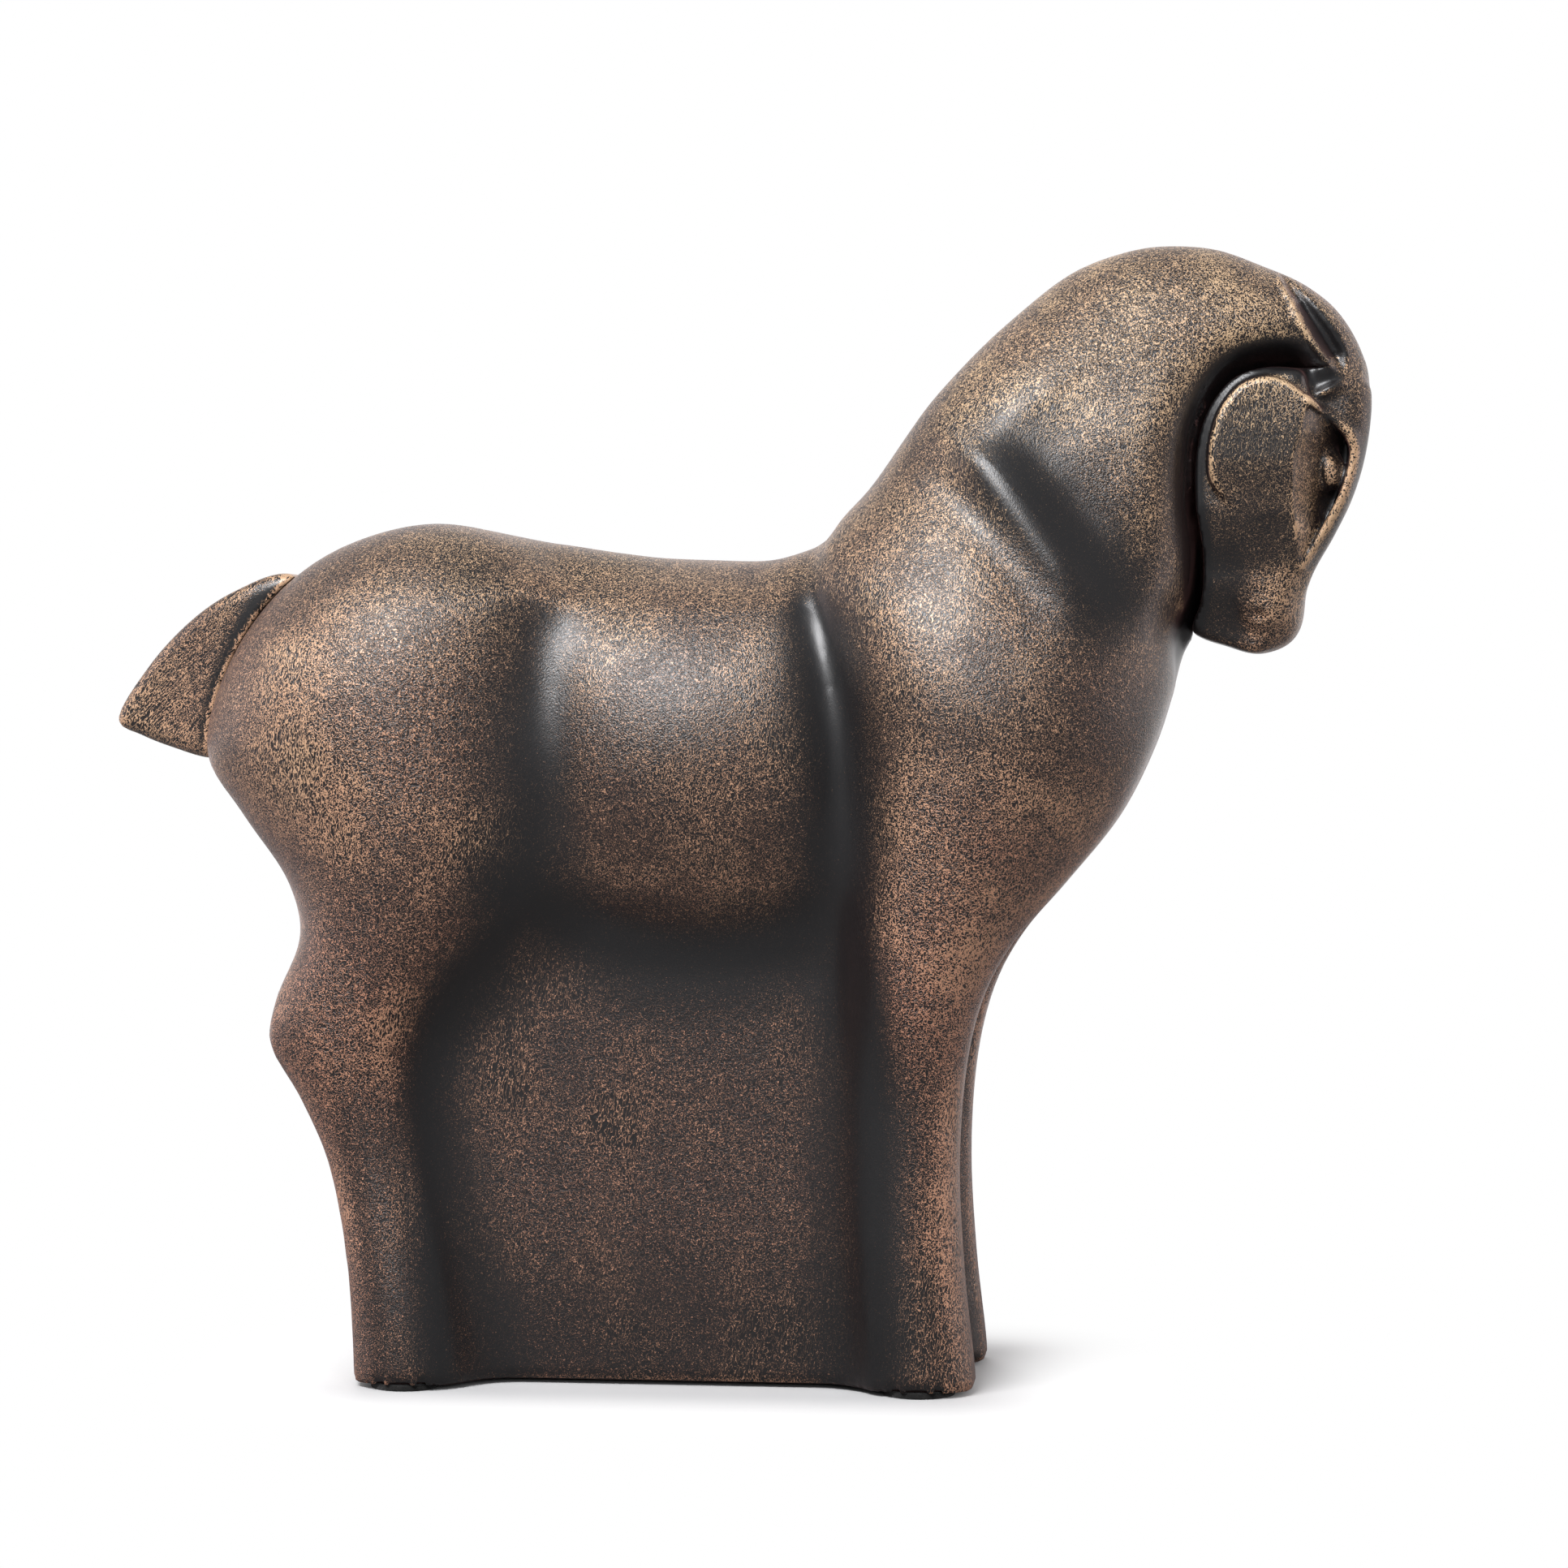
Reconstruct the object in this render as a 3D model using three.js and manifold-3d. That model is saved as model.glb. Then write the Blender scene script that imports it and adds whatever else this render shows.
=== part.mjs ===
// Horse figurine in polyresin: a hollow cast body on four felt pads, closed underneath by a bonded plate,
// with a separately cast head and tail bonded on over steel dowels.
// Millimetres, +Z up. The horse looks along +X and its mid-plane is y = 0. The origin lies on the table
// under the middle of the figurine.

import * as THREE from "three";
import { mergeVertices } from "three/addons/utils/BufferGeometryUtils.js";
import Module from "manifold-3d";

const { clamp, lerp, smoothstep } = THREE.MathUtils;
const wasm = await Module();
wasm.setup();

// Overall size of the castings
const LENGTH = 360; // tail tip to forehead
const HEIGHT = 318; // underside of the feet to the crest of the neck

// Half widths of the modelled masses, out from the mid-plane
const RUMP_HALF = 62;
const HOCK_HALF = 49;
const HIND_FOOT_HALF = 54;
const BARREL_HALF = 54;
const SHOULDER_HALF = 65;
const NECK_HALF = 48;
const POLL_HALF = 34;
const KNEE_HALF = 47;
const FORE_FOOT_HALF = 50;
const LOIN_HALF = 42;
const WEB_HALF = 29;
const CHEEK_HALF = 28.5;
const JAW_HALF = 25;
const BROW_HALF = 20;
const MUZZLE_HALF = 19;
const CHIN_HALF = 16;
const SOCKET_HALF = 11; // at the bottom of the eye sockets
const EYE_BULGE = 5; // out from the bottom of the socket
const EAR_BULGE = 4; // out from the brow
const TAIL_ROOT_HALF = 17;
const TAIL_TIP_HALF = 5;

// Radii of the rounded edges
const LEG_ROUND = 20;
const HIND_ROUND = 52;
const FORE_ROUND = 44;
const CREST_ROUND = 30;
const LOIN_ROUND = 38;
const WEB_ROUND = 8;
const SKULL_ROUND = 8;
const JAW_ROUND = 4;
const CHEEK_ROUND = 2.5;
const TAIL_ROUND = 4;
const NECK_RIM = 8; // edge of the neck round the head
const HEAD_RIM = 2; // edge of the head against the neck
const CLEFT_RADIUS = 15; // hollow that parts the left legs from the right ones

// Widths over which one mass runs into the next
const BARREL_BLEND = 5;
const HAUNCH_BLEND = 9;
const SHOULDER_BLEND = 7;
const CLEFT_BLEND = 8;
const MUZZLE_BLEND = 4;
const CHEEK_BLEND = 2;
const DETAIL_BLEND = 1;

// Casting and bonding
const WALL = 6; // resin left round the hollow
const FLOOR = 8; // resin left under the hollow
const ARCH = 4; // rise of the underside between the feet
const HOLLOW_SILL = 150; // height up to which the legs are solid
const GLUE = 0.3; // adhesive film between bonded pieces

// Dowels, closing plate and pads
const DOWEL_DIAMETER = 6;
const HEAD_DOWEL_LENGTH = 36;
const TAIL_DOWEL_LENGTH = 32;
const PLATE_THICKNESS = 4;
const PLATE_RIM = 8; // resin left round the plate
const PLATE_LEDGE = 4; // how far the plate bears on the edge of the opening above it
const PLATE_CORNER = 12;
const PAD_DIAMETER = 20;
const PAD_THICKNESS = 1.7;
const PAD_INSET = 6; // in from the outer side of the foot

// Lattice steps of the modelled surfaces
const BODY_STEP = 9;
const HEAD_STEP = 4;
const TAIL_STEP = 4.5;
const HOLLOW_STEP = 16;

// The side view, as points [along, above the soles] of closed outlines. It is stretched to the length and
// height above.
const SIDE_VIEW = {
  hindquarter: [
    [-50, 229], [-80, 241], [-110, 235], [-131, 220], [-146, 196], [-150, 175], [-139, 157], [-125, 138],
    [-121, 124], [-127, 106], [-128.5, 94], [-120, 78], [-112, 60], [-106, 30], [-104, 0], [-104, -20],
    [-72, -20], [-71, 0], [-77, 34], [-86, 75], [-85, 98], [-66, 120], [-48, 139], [-44, 165], [-47, 200],
  ],
  forehand: [
    [42, -20], [41, 3], [38, 48], [38, 110], [35, 150], [33, 180], [29, 210], [25, 226], [31, 240],
    [40, 250.5], [54, 270], [65, 283], [79, 297], [97, 311], [114, 317], [124, 318], [137, 316.8],
    [150, 312], [161, 307], [170, 300], [176.5, 290], [179.5, 280], [178, 270], [160, 265], [146, 240],
    [136, 216], [128.5, 205], [125, 193], [120, 178], [110, 158], [94, 138], [82, 124], [74, 110],
    [69, 92], [66.5, 62], [68, 30], [71, 2], [72, -20],
  ],
  core: [
    [-60, 236], [-30, 232.5], [-3, 229.3], [12, 230.5], [24, 234], [34, 238], [50, 250], [80, 275],
    [105, 280], [110, 240], [105, 190], [92, 150], [62, 112], [58, 60], [60, 0], [60, -20], [-94, -20],
    [-95, 0], [-97, 40], [-110, 85], [-110, 125], [-128, 160], [-136, 190], [-120, 213], [-90, 231],
  ],
  head: [
    [179.8, 276], [179.5, 267], [177.8, 257], [174.5, 246.5], [170, 237], [164.5, 227], [160.5, 217],
    [155.5, 208], [149, 204], [140, 206], [131, 209.5], [126, 216], [126, 245], [126, 262], [131, 276],
    [141, 287], [151, 291], [163, 293], [172, 295], [177.5, 288],
  ],
  jaw: [
    [160, 283], [152, 284], [143, 281], [138.5, 272], [136.5, 258], [138, 240], [139, 226], [143, 217],
    [150, 213], [156, 218], [158.5, 229], [158.5, 243], [159.5, 258], [161, 272],
  ],
  cheek: [
    [162, 273], [159, 278], [152, 280.5], [145, 278], [139, 271], [136, 262], [135.5, 253], [138, 245],
    [143, 240], [150, 238], [156, 241], [158.5, 250], [159.5, 262],
  ],
  socket: [
    [162, 273.5], [168, 268.5], [173, 262], [175, 255], [173, 246], [168.5, 237], [163, 229], [160, 227],
    [159, 240], [159.5, 258],
  ],
  tail: [
    [-180.2, 184.5], [-170.5, 201], [-156, 214.5], [-142, 222.5], [-127, 227], [-116, 220], [-122, 195],
    [-136, 176], [-150, 174], [-163, 177], [-173, 180.5],
  ],
};
const DRAWN = new THREE.Box2().setFromPoints(
  Object.values(SIDE_VIEW).flat().map(([x, z]) => new THREE.Vector2(x, z)),
);
const ALONG = LENGTH / (DRAWN.max.x - DRAWN.min.x);
const ABOVE = HEIGHT / DRAWN.max.y;
const place = ([x, z]) => new THREE.Vector3(x * ALONG, z * ABOVE, 0);
const along = (x) => x * ALONG;
const above = (z) => z * ABOVE;

const HINDQUARTER = outline(SIDE_VIEW.hindquarter);
const FOREHAND = outline(SIDE_VIEW.forehand);
const CORE = outline(SIDE_VIEW.core);
const HEAD = outline(SIDE_VIEW.head);
const JAW = outline(SIDE_VIEW.jaw);
const CHEEK = outline(SIDE_VIEW.cheek);
const SOCKET = outline(SIDE_VIEW.socket);
const TAIL = outline(SIDE_VIEW.tail);
const BODY = [HINDQUARTER, CORE, FOREHAND];
// The head fills everything inside this outline. Its left and upper edge is the joint with the neck.
const JOINT = outline([
  [131, 209.5], [133.5, 219], [134, 231], [132, 245], [132, 258], [135, 270], [142, 279], [151, 282],
  [160, 282], [168, 282.5], [176, 283], [186, 283], [230, 280], [230, 180], [150, 195], [137, 203],
]);

// Heights where the masses change width
const LEVEL = {
  sole: above(0),
  cannon: above(75),
  elbow: above(100),
  web: above(112),
  flank: above(165),
  chin: above(212),
  withers: above(240),
  brow: above(250),
  crest: above(300),
};
// The neck narrows upwards and forwards: its level counts from here, and rises this much along the length.
const NECK_LEAN = { from: along(115), rise: 0.35 };
// Where along the length the neck's rim sharpens over the forehead and the tail widens
const RIM_SHARPENS = [along(148), along(168)];
const TAIL_WIDENS = [along(-180), along(-135)];
// The eye sockets deepen forwards from here by this much for each millimetre.
const SOCKET_SLANT = { from: along(159.5), fall: 1.45 };
// Distances out from the mid-plane over which rims and creases come in
const RIM_STARTS = [3, 14];
const CREASE_STARTS = [5, 18];
const CREASE_FADE = 0.25; // share of a crease over which it dies out at each end
// Where along the length the underside rises off the soles and comes down to them again
const ARCH_RISES = [along(-80), along(-68)];
const ARCH_FALLS = [along(30), along(46)];

// Creases pressed into the sides along lines of the side view
const CREASES = [
  { line: path([[74, 280], [83, 263], [92, 248], [102, 234], [112, 219]]), width: 8, depth: 6 },
  { line: path([[25, 226], [29, 209], [32, 193], [33, 176], [35, 158], [40, 138]]), width: 5, depth: 4 },
  {
    line: path([[-52, 224], [-50.5, 209], [-47, 193], [-44, 176], [-43, 158], [-45, 143]]),
    width: 6,
    depth: 2.5,
  },
  {
    line: path([[-46, 141], [-36, 132], [-23, 127.5], [-7, 125.5], [9, 127.5], [23, 133], [33, 143]]),
    width: 5,
    depth: 3,
  },
  { line: path([[156, 312], [163, 302], [168, 293], [171, 284]]), width: 5, depth: 4 },
];

// Mid-plane lines of the hollows between the legs
const FORE_CLEFT_FOOT = [75, 0];
const HIND_CLEFT_FOOT = [-110, 0];
const FORE_CLEFT = path([[76, -30], FORE_CLEFT_FOOT, [73, 38], [72.5, 63], [75, 93], [85, 116]]);
const HIND_CLEFT = path([
  [-110, -30], HIND_CLEFT_FOOT, [-111, 31], [-115, 53], [-123, 73], [-133, 94], [-131, 115], [-134, 146],
]);

// Rounded masses
const BARREL = { centre: place([-7, 174]), radii: [along(68), BARREL_HALF, above(56)], out: 0 };
const MUZZLE = { centre: place([152.5, 216]), radii: [along(10), MUZZLE_HALF, above(11)], out: 0 };
const EYE = { centre: place([168.3, 255.5]), radii: [along(3.4), EYE_BULGE, above(5.2)], out: SOCKET_HALF };
const EAR = { centre: place([168.6, 275.8]), radii: [along(7.5), EAR_BULGE, above(4)], out: BROW_HALF };

// Places that the hardware is set out from
const HEAD_DOWELS = [place([133, 262]), place([134, 232])];
const TAIL_DOWEL = place([-148, 197]);
const HIND_FOOT = { x: place([-88, 0]).x, y: HIND_FOOT_HALF - PAD_INSET - PAD_DIAMETER / 2 };
const FORE_FOOT = { x: place([56, 0]).x, y: FORE_FOOT_HALF - PAD_INSET - PAD_DIAMETER / 2 };
const HEAD_SEAT = HEAD_DOWEL_LENGTH / 2 + WALL; // solid resin in the neck behind the head
const TAIL_SEAT = TAIL_DOWEL.x + TAIL_DOWEL_LENGTH / 2 + WALL; // solid resin in the rump as far as this
const PLATE_BACK = place(HIND_CLEFT_FOOT).x + CLEFT_RADIUS + PLATE_RIM;
const PLATE_FRONT = place(FORE_CLEFT_FOOT).x - CLEFT_RADIUS - PLATE_RIM;
const PLATE_LENGTH = PLATE_FRONT - PLATE_BACK;
const PLATE_WIDTH = 2 * (WEB_HALF - PLATE_RIM);
const WIDEST = Math.max(RUMP_HALF, HOCK_HALF, HIND_FOOT_HALF, BARREL_HALF, SHOULDER_HALF, FORE_FOOT_HALF);

// A closed smooth outline, as points round it.
function outline(points) {
  const divisions = 4;
  const curve = new THREE.CatmullRomCurve3(points.map(place), true, "centripetal");
  return curve.getPoints(points.length * divisions).slice(0, -1);
}

// An open smooth line, as points along it.
function path(points) {
  const divisions = 4;
  const curve = new THREE.CatmullRomCurve3(points.map(place), false, "centripetal");
  return curve.getPoints(points.length * divisions);
}

// How far along a segment the nearest point to a place of the side view lies.
function footShare(a, b, x, z) {
  const dx = b.x - a.x;
  const dz = b.y - a.y;
  return clamp(((x - a.x) * dx + (z - a.y) * dz) / (dx * dx + dz * dz), 0, 1);
}
function footGap(a, b, share, x, z) {
  return Math.hypot(x - lerp(a.x, b.x, share), z - lerp(a.y, b.y, share));
}

// Distance to a closed outline, negative inside it.
function reach(ring, x, z) {
  let nearest = Infinity;
  let inside = false;
  for (let i = 0, last = ring.length - 1; i < ring.length; last = i++) {
    const a = ring[last];
    const b = ring[i];
    nearest = Math.min(nearest, footGap(a, b, footShare(a, b, x, z), x, z));
    if (a.y > z !== b.y > z && x < a.x + ((z - a.y) / (b.y - a.y)) * (b.x - a.x)) inside = !inside;
  }
  return inside ? -nearest : nearest;
}

// The same distance with the ridges deep inside the outline rounded off: a mean over a spot that grows with
// the depth, so that the outline itself keeps its place.
function softReach(ring, x, z) {
  const turns = 12;
  const shares = [0.5, 0.95];
  const depth = -reach(ring, x, z);
  if (depth <= 0) return -depth;
  let total = 0;
  for (const share of shares) {
    for (let turn = 0; turn < turns; turn++) {
      const angle = (2 * Math.PI * turn) / turns;
      total += reach(ring, x + share * depth * Math.cos(angle), z + share * depth * Math.sin(angle));
    }
  }
  return total / (turns * shares.length);
}

// Distance to an open line, and how far along it that is, from 0 to 1.
function nearLine(line, x, z) {
  let best = { gap: Infinity, along: 0 };
  for (let i = 1; i < line.length; i++) {
    const share = footShare(line[i - 1], line[i], x, z);
    const gap = footGap(line[i - 1], line[i], share, x, z);
    if (gap < best.gap) best = { gap, along: (i - 1 + share) / (line.length - 1) };
  }
  return best;
}

// Soft union and soft cut of two distances, blended over the given width.
function blend(a, b, width) {
  const overlap = Math.max(width - Math.abs(a - b), 0);
  return Math.min(a, b) - (overlap * overlap) / (4 * width);
}
const carve = (a, b, width) => -blend(-a, b, width);

// A value that eases from stop to stop. Stops are [height, value].
function ease(z, stops) {
  const next = stops.findIndex(([stop]) => stop > z);
  if (next === 0) return stops[0][1];
  if (next < 0) return stops.at(-1)[1];
  const [low, from] = stops[next - 1];
  const [high, to] = stops[next];
  return lerp(from, to, smoothstep(z, low, high));
}

// Distance to an outline thickened to both sides of the mid-plane, with rounded edges.
function slab(side, y, half, round) {
  const across = side + round;
  const out = Math.abs(y) - half + round;
  return Math.min(Math.max(across, out), 0) + Math.hypot(Math.max(across, 0), Math.max(out, 0)) - round;
}

// Distance to a rounded mass, one on each side where it stands out from the mid-plane.
function mass(shape, x, y, z) {
  const p = [x - shape.centre.x, Math.abs(y) - shape.out, z - shape.centre.y];
  const r = shape.radii;
  const near = Math.hypot(...p.map((v, i) => v / r[i]));
  const steep = Math.hypot(...p.map((v, i) => v / (r[i] * r[i])));
  return steep > 0 ? (near * (near - 1)) / steep : -Math.min(...r);
}

// How far a rim of the given radius has dropped away at a distance from its edge.
function rimDrop(distance, radius) {
  const short = clamp(1 - distance / radius, 0, 1);
  return radius * (1 - Math.sqrt(1 - short * short));
}

// The trunk, with the web between the limbs, at one place of the side view: gives the distance to its
// surface at any depth y.
function trunkAt(x, z) {
  const { web, flank, crest } = LEVEL;
  const core = softReach(CORE, x, z);
  const half = ease(z, [[web, WEB_HALF], [flank, LOIN_HALF], [crest, POLL_HALF]]);
  const round = ease(z, [[web, WEB_ROUND], [flank, LOIN_ROUND], [crest, CREST_ROUND]]);
  return (y) => blend(slab(core, y, half, round), mass(BARREL, x, y, z), BARREL_BLEND);
}

// The body at one place of the side view, in the same way.
function bodyAt(x, z) {
  const trunk = trunkAt(x, z);
  const [hind, fore] = [HINDQUARTER, FOREHAND].map((ring) => softReach(ring, x, z));
  const { sole, cannon, elbow, flank, withers, crest } = LEVEL;
  const hindHalf = ease(z, [[sole, HIND_FOOT_HALF], [cannon, HOCK_HALF], [flank, RUMP_HALF]]);
  const hindRound = ease(z, [[elbow, LEG_ROUND], [flank, HIND_ROUND]]);
  const legHalf = ease(z, [[sole, FORE_FOOT_HALF], [cannon, KNEE_HALF], [flank, SHOULDER_HALF]]);
  const neckLevel = z + (x - NECK_LEAN.from) * NECK_LEAN.rise;
  const neckHalf = ease(neckLevel, [[flank, SHOULDER_HALF], [withers, NECK_HALF], [crest, POLL_HALF]]);
  const foreRound = ease(z, [
    [elbow, LEG_ROUND], [flank, FORE_ROUND], [withers, FORE_ROUND], [crest, CREST_ROUND],
  ]);
  const press = CREASES.reduce((sum, { line, width, depth }) => {
    const { gap, along } = nearLine(line, x, z);
    const fade = smoothstep(along, 0, CREASE_FADE) * smoothstep(1 - along, 0, CREASE_FADE);
    return sum + depth * fade * Math.exp(-((gap / width) ** 2));
  }, 0);
  const clefts = [FORE_CLEFT, HIND_CLEFT].map((line) => nearLine(line, x, z).gap);
  const rim = rimDrop(reach(JOINT, x, z), lerp(NECK_RIM, HEAD_RIM, smoothstep(x, ...RIM_SHARPENS)));
  return (y) => {
    let f = blend(trunk(y), slab(hind, y, hindHalf, hindRound), HAUNCH_BLEND);
    f = blend(f, slab(fore, y, Math.min(legHalf, neckHalf), foreRound), SHOULDER_BLEND);
    for (const gap of clefts) f = carve(f, Math.hypot(gap, y) - CLEFT_RADIUS, CLEFT_BLEND);
    const out = Math.abs(y);
    return f + rim * smoothstep(out, ...RIM_STARTS) + press * smoothstep(out, ...CREASE_STARTS);
  };
}

// The head, before it is cut off at the joint.
function headAt(x, z) {
  const [skull, jaw, cheek, socket, joint] = [HEAD, JAW, CHEEK, SOCKET, JOINT].map((r) => reach(r, x, z));
  const skullHalf = ease(z, [[LEVEL.chin, CHIN_HALF], [LEVEL.brow, BROW_HALF]]);
  const jawHalf = ease(z, [[LEVEL.chin, CHIN_HALF], [LEVEL.brow, JAW_HALF]]);
  const cheekHalf = ease(z, [[LEVEL.withers, JAW_HALF], [LEVEL.brow, CHEEK_HALF]]);
  const socketHalf = Math.max(JAW_HALF - SOCKET_SLANT.fall * (x - SOCKET_SLANT.from), SOCKET_HALF);
  const rim = rimDrop(-joint, HEAD_RIM);
  return (y) => {
    let f = slab(skull, y, skullHalf, SKULL_ROUND);
    f = blend(f, slab(jaw, y, jawHalf, JAW_ROUND), MUZZLE_BLEND);
    f = blend(f, slab(cheek, y, cheekHalf, CHEEK_ROUND), CHEEK_BLEND);
    f = blend(f, mass(MUZZLE, x, y, z), MUZZLE_BLEND);
    f = carve(f, Math.max(socket, socketHalf - Math.abs(y)), CHEEK_BLEND);
    f = blend(f, mass(EYE, x, y, z), DETAIL_BLEND);
    f = blend(f, mass(EAR, x, y, z), DETAIL_BLEND);
    return f + rim * smoothstep(Math.abs(y), ...RIM_STARTS);
  };
}

// The tail, reaching into the rump before it is cut off there.
function tailAt(x, z) {
  const side = reach(TAIL, x, z);
  const half = lerp(TAIL_TIP_HALF, TAIL_ROOT_HALF, smoothstep(x, ...TAIL_WIDENS));
  return (y) => slab(side, y, half, TAIL_ROUND);
}

// The hollow inside the body, stopped above the floor and clear of the seats of the head and the tail. Below
// the sill only the web is hollow, because the legs fill up solid.
function hollowAt(x, z) {
  const trunk = trunkAt(x, z);
  const body = bodyAt(x, z);
  const stop = Math.max(ARCH + FLOOR - z, HEAD_SEAT - reach(JOINT, x, z), TAIL_SEAT - x);
  return (y) => Math.max(Math.min(trunk(y), Math.max(body(y), HOLLOW_SILL - z)) + WALL, stop);
}

// The body grown by an adhesive film.
function rumpAt(x, z) {
  const body = bodyAt(x, z);
  return (y) => body(y) - GLUE;
}

// The closed surface where a distance is nought, over a lattice of the given step: one point for each
// sheet of surface in a lattice cell, one four-sided face for each lattice edge that crosses the surface.
function skin(shapeAt, low, high, step) {
  const first = low.map((v) => Math.floor(v / step) - 1);
  const count = high.map((v, axis) => Math.ceil(v / step) + 2 - first[axis]);
  const stride = [1, count[0], count[0] * count[1]];
  const values = new Float64Array(count[0] * count[1] * count[2]);
  for (let k = 0; k < count[2]; k++) {
    for (let i = 0; i < count[0]; i++) {
      const depth = shapeAt((first[0] + i) * step, (first[2] + k) * step);
      for (let j = 0; j < count[1]; j++) {
        values[i + j * stride[1] + k * stride[2]] = depth((first[1] + j) * step) || Number.EPSILON;
      }
    }
  }
  const corners = [...Array(8).keys()];
  const edges = [0, 1, 2].flatMap((axis) =>
    corners.filter((c) => !(c & (1 << axis))).map((c) => ({ axis, from: c, to: c | (1 << axis) })),
  );
  const faces = [0, 1, 2].flatMap((axis) => [0, 1 << axis].map((bit) =>
    edges.flatMap((e, n) => ((e.from & (1 << axis)) === bit && (e.to & (1 << axis)) === bit ? [n] : [])),
  ));
  const offset = (c) => (c & 1) + ((c >> 1) & 1) * stride[1] + ((c >> 2) & 1) * stride[2];
  const points = [];
  const owner = new Map();

  // The sheets of surface in one cell: cut edges that share a face belong to one sheet.
  const meet = (cell, base) => {
    const inside = corners.map((c) => values[cell + offset(c)] < 0);
    const crossed = edges.map((e) => inside[e.from] !== inside[e.to]);
    if (!crossed.includes(true)) return;
    const sheet = edges.map((_, n) => n);
    const join = (a, b) => {
      const [keep, lose] = [sheet[a], sheet[b]];
      sheet.forEach((s, n) => { if (s === lose) sheet[n] = keep; });
    };
    for (const face of faces) {
      const cut = face.filter((n) => crossed[n]);
      if (cut.length === 2) join(cut[0], cut[1]);
      if (cut.length < 4) continue;
      for (const c of corners.filter((corner) => inside[corner])) {
        const pair = cut.filter((n) => edges[n].from === c || edges[n].to === c);
        if (pair.length === 2) join(pair[0], pair[1]);
      }
    }
    for (const name of new Set(sheet.filter((_, n) => crossed[n]))) {
      const members = edges.map((_, n) => n).filter((n) => crossed[n] && sheet[n] === name);
      const point = [0, 0, 0];
      for (const n of members) {
        const { axis, from, to } = edges[n];
        const a = values[cell + offset(from)];
        const share = a / (a - values[cell + offset(to)]);
        [0, 1, 2].forEach((d) => {
          const at = first[d] + base[d] + ((from >> d) & 1) + (d === axis ? share : 0);
          point[d] += (at * step) / members.length;
        });
        owner.set(cell * edges.length + n, points.length);
      }
      points.push(new THREE.Vector3(...point));
    }
  };
  for (let k = 0; k < count[2] - 1; k++) {
    for (let j = 0; j < count[1] - 1; j++) {
      for (let i = 0; i < count[0] - 1; i++) meet(i + j * stride[1] + k * stride[2], [i, j, k]);
    }
  }

  const index = [];
  for (const key of owner.keys()) {
    const edge = edges[key % edges.length];
    if (edge.from !== 0) continue;
    const node = Math.floor(key / edges.length);
    const [u, v] = [(edge.axis + 1) % 3, (edge.axis + 2) % 3];
    const ring = [[0, 0], [1, 0], [1, 1], [0, 1]].map(([du, dv]) => {
      const cell = node - du * stride[u] - dv * stride[v];
      const from = (du << u) | (dv << v);
      return owner.get(cell * edges.length + edges.findIndex((e) => e.axis === edge.axis && e.from === from));
    });
    if (values[node] > 0) ring.reverse();
    const [a, b, c, d] = ring;
    const flip = points[a].distanceToSquared(points[c]) > points[b].distanceToSquared(points[d]);
    index.push(...(flip ? [a, b, d, b, c, d] : [a, b, c, a, c, d]));
  }
  const geometry = new THREE.BufferGeometry().setFromPoints(points);
  geometry.setIndex(index);
  return geometry;
}

// From a drawn geometry to a solid that can be cut, and back.
function solid(geometry) {
  const bare = new THREE.BufferGeometry();
  bare.setAttribute("position", geometry.getAttribute("position"));
  bare.setIndex(geometry.getIndex());
  const merged = mergeVertices(bare, 1e-5);
  return new wasm.Manifold(new wasm.Mesh({
    numProp: 3,
    vertProperties: new Float32Array(merged.getAttribute("position").array),
    triVerts: new Uint32Array(merged.getIndex().array),
  }));
}
function drawn(body) {
  const mesh = body.getMesh();
  const geometry = new THREE.BufferGeometry();
  geometry.setAttribute("position", new THREE.BufferAttribute(new Float32Array(mesh.vertProperties), 3));
  geometry.setIndex(new THREE.BufferAttribute(new Uint32Array(mesh.triVerts), 1));
  geometry.computeVertexNormals();
  return geometry;
}

// A round bar along X, centred on a place of the mid-plane.
function bar(centre, length, diameter) {
  const sides = 24;
  const geometry = new THREE.CylinderGeometry(diameter / 2, diameter / 2, length, sides);
  return geometry.rotateZ(Math.PI / 2).translate(centre.x, 0, centre.y);
}

// A flat piece the shape of the closing plate, grown by a margin, from one height to another.
function panel(margin, low, high) {
  const shape = new THREE.Shape();
  const corner = PLATE_CORNER + margin;
  const [x, y] = [PLATE_LENGTH / 2 - PLATE_CORNER, PLATE_WIDTH / 2 - PLATE_CORNER];
  shape.absarc(x, y, corner, 0, Math.PI / 2);
  shape.absarc(-x, y, corner, Math.PI / 2, Math.PI);
  shape.absarc(-x, -y, corner, Math.PI, Math.PI * 1.5);
  shape.absarc(x, -y, corner, Math.PI * 1.5, Math.PI * 2);
  const depth = high - low;
  const geometry = new THREE.ExtrudeGeometry(shape, { depth, bevelEnabled: false, curveSegments: 6 });
  return geometry.translate((PLATE_FRONT + PLATE_BACK) / 2, 0, low);
}

// Everything under the soles and the arch between the feet.
function underside() {
  const shape = new THREE.Shape([
    [-LENGTH, -HEIGHT], [LENGTH, -HEIGHT], [LENGTH, 0], [ARCH_FALLS[1], 0], [ARCH_FALLS[0], ARCH],
    [ARCH_RISES[1], ARCH], [ARCH_RISES[0], 0], [-LENGTH, 0],
  ].map((p) => new THREE.Vector2(...p)));
  return through(shape);
}

// The joint outline carried right through from side to side, grown by a margin.
function jointBlock(margin) {
  const grown = JOINT.map((p, i) => {
    const run = JOINT[(i + 1) % JOINT.length].clone().sub(JOINT.at(i - 1)).normalize();
    return new THREE.Vector2(p.x - run.y * margin, p.y + run.x * margin);
  });
  return through(new THREE.Shape(grown));
}

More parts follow.
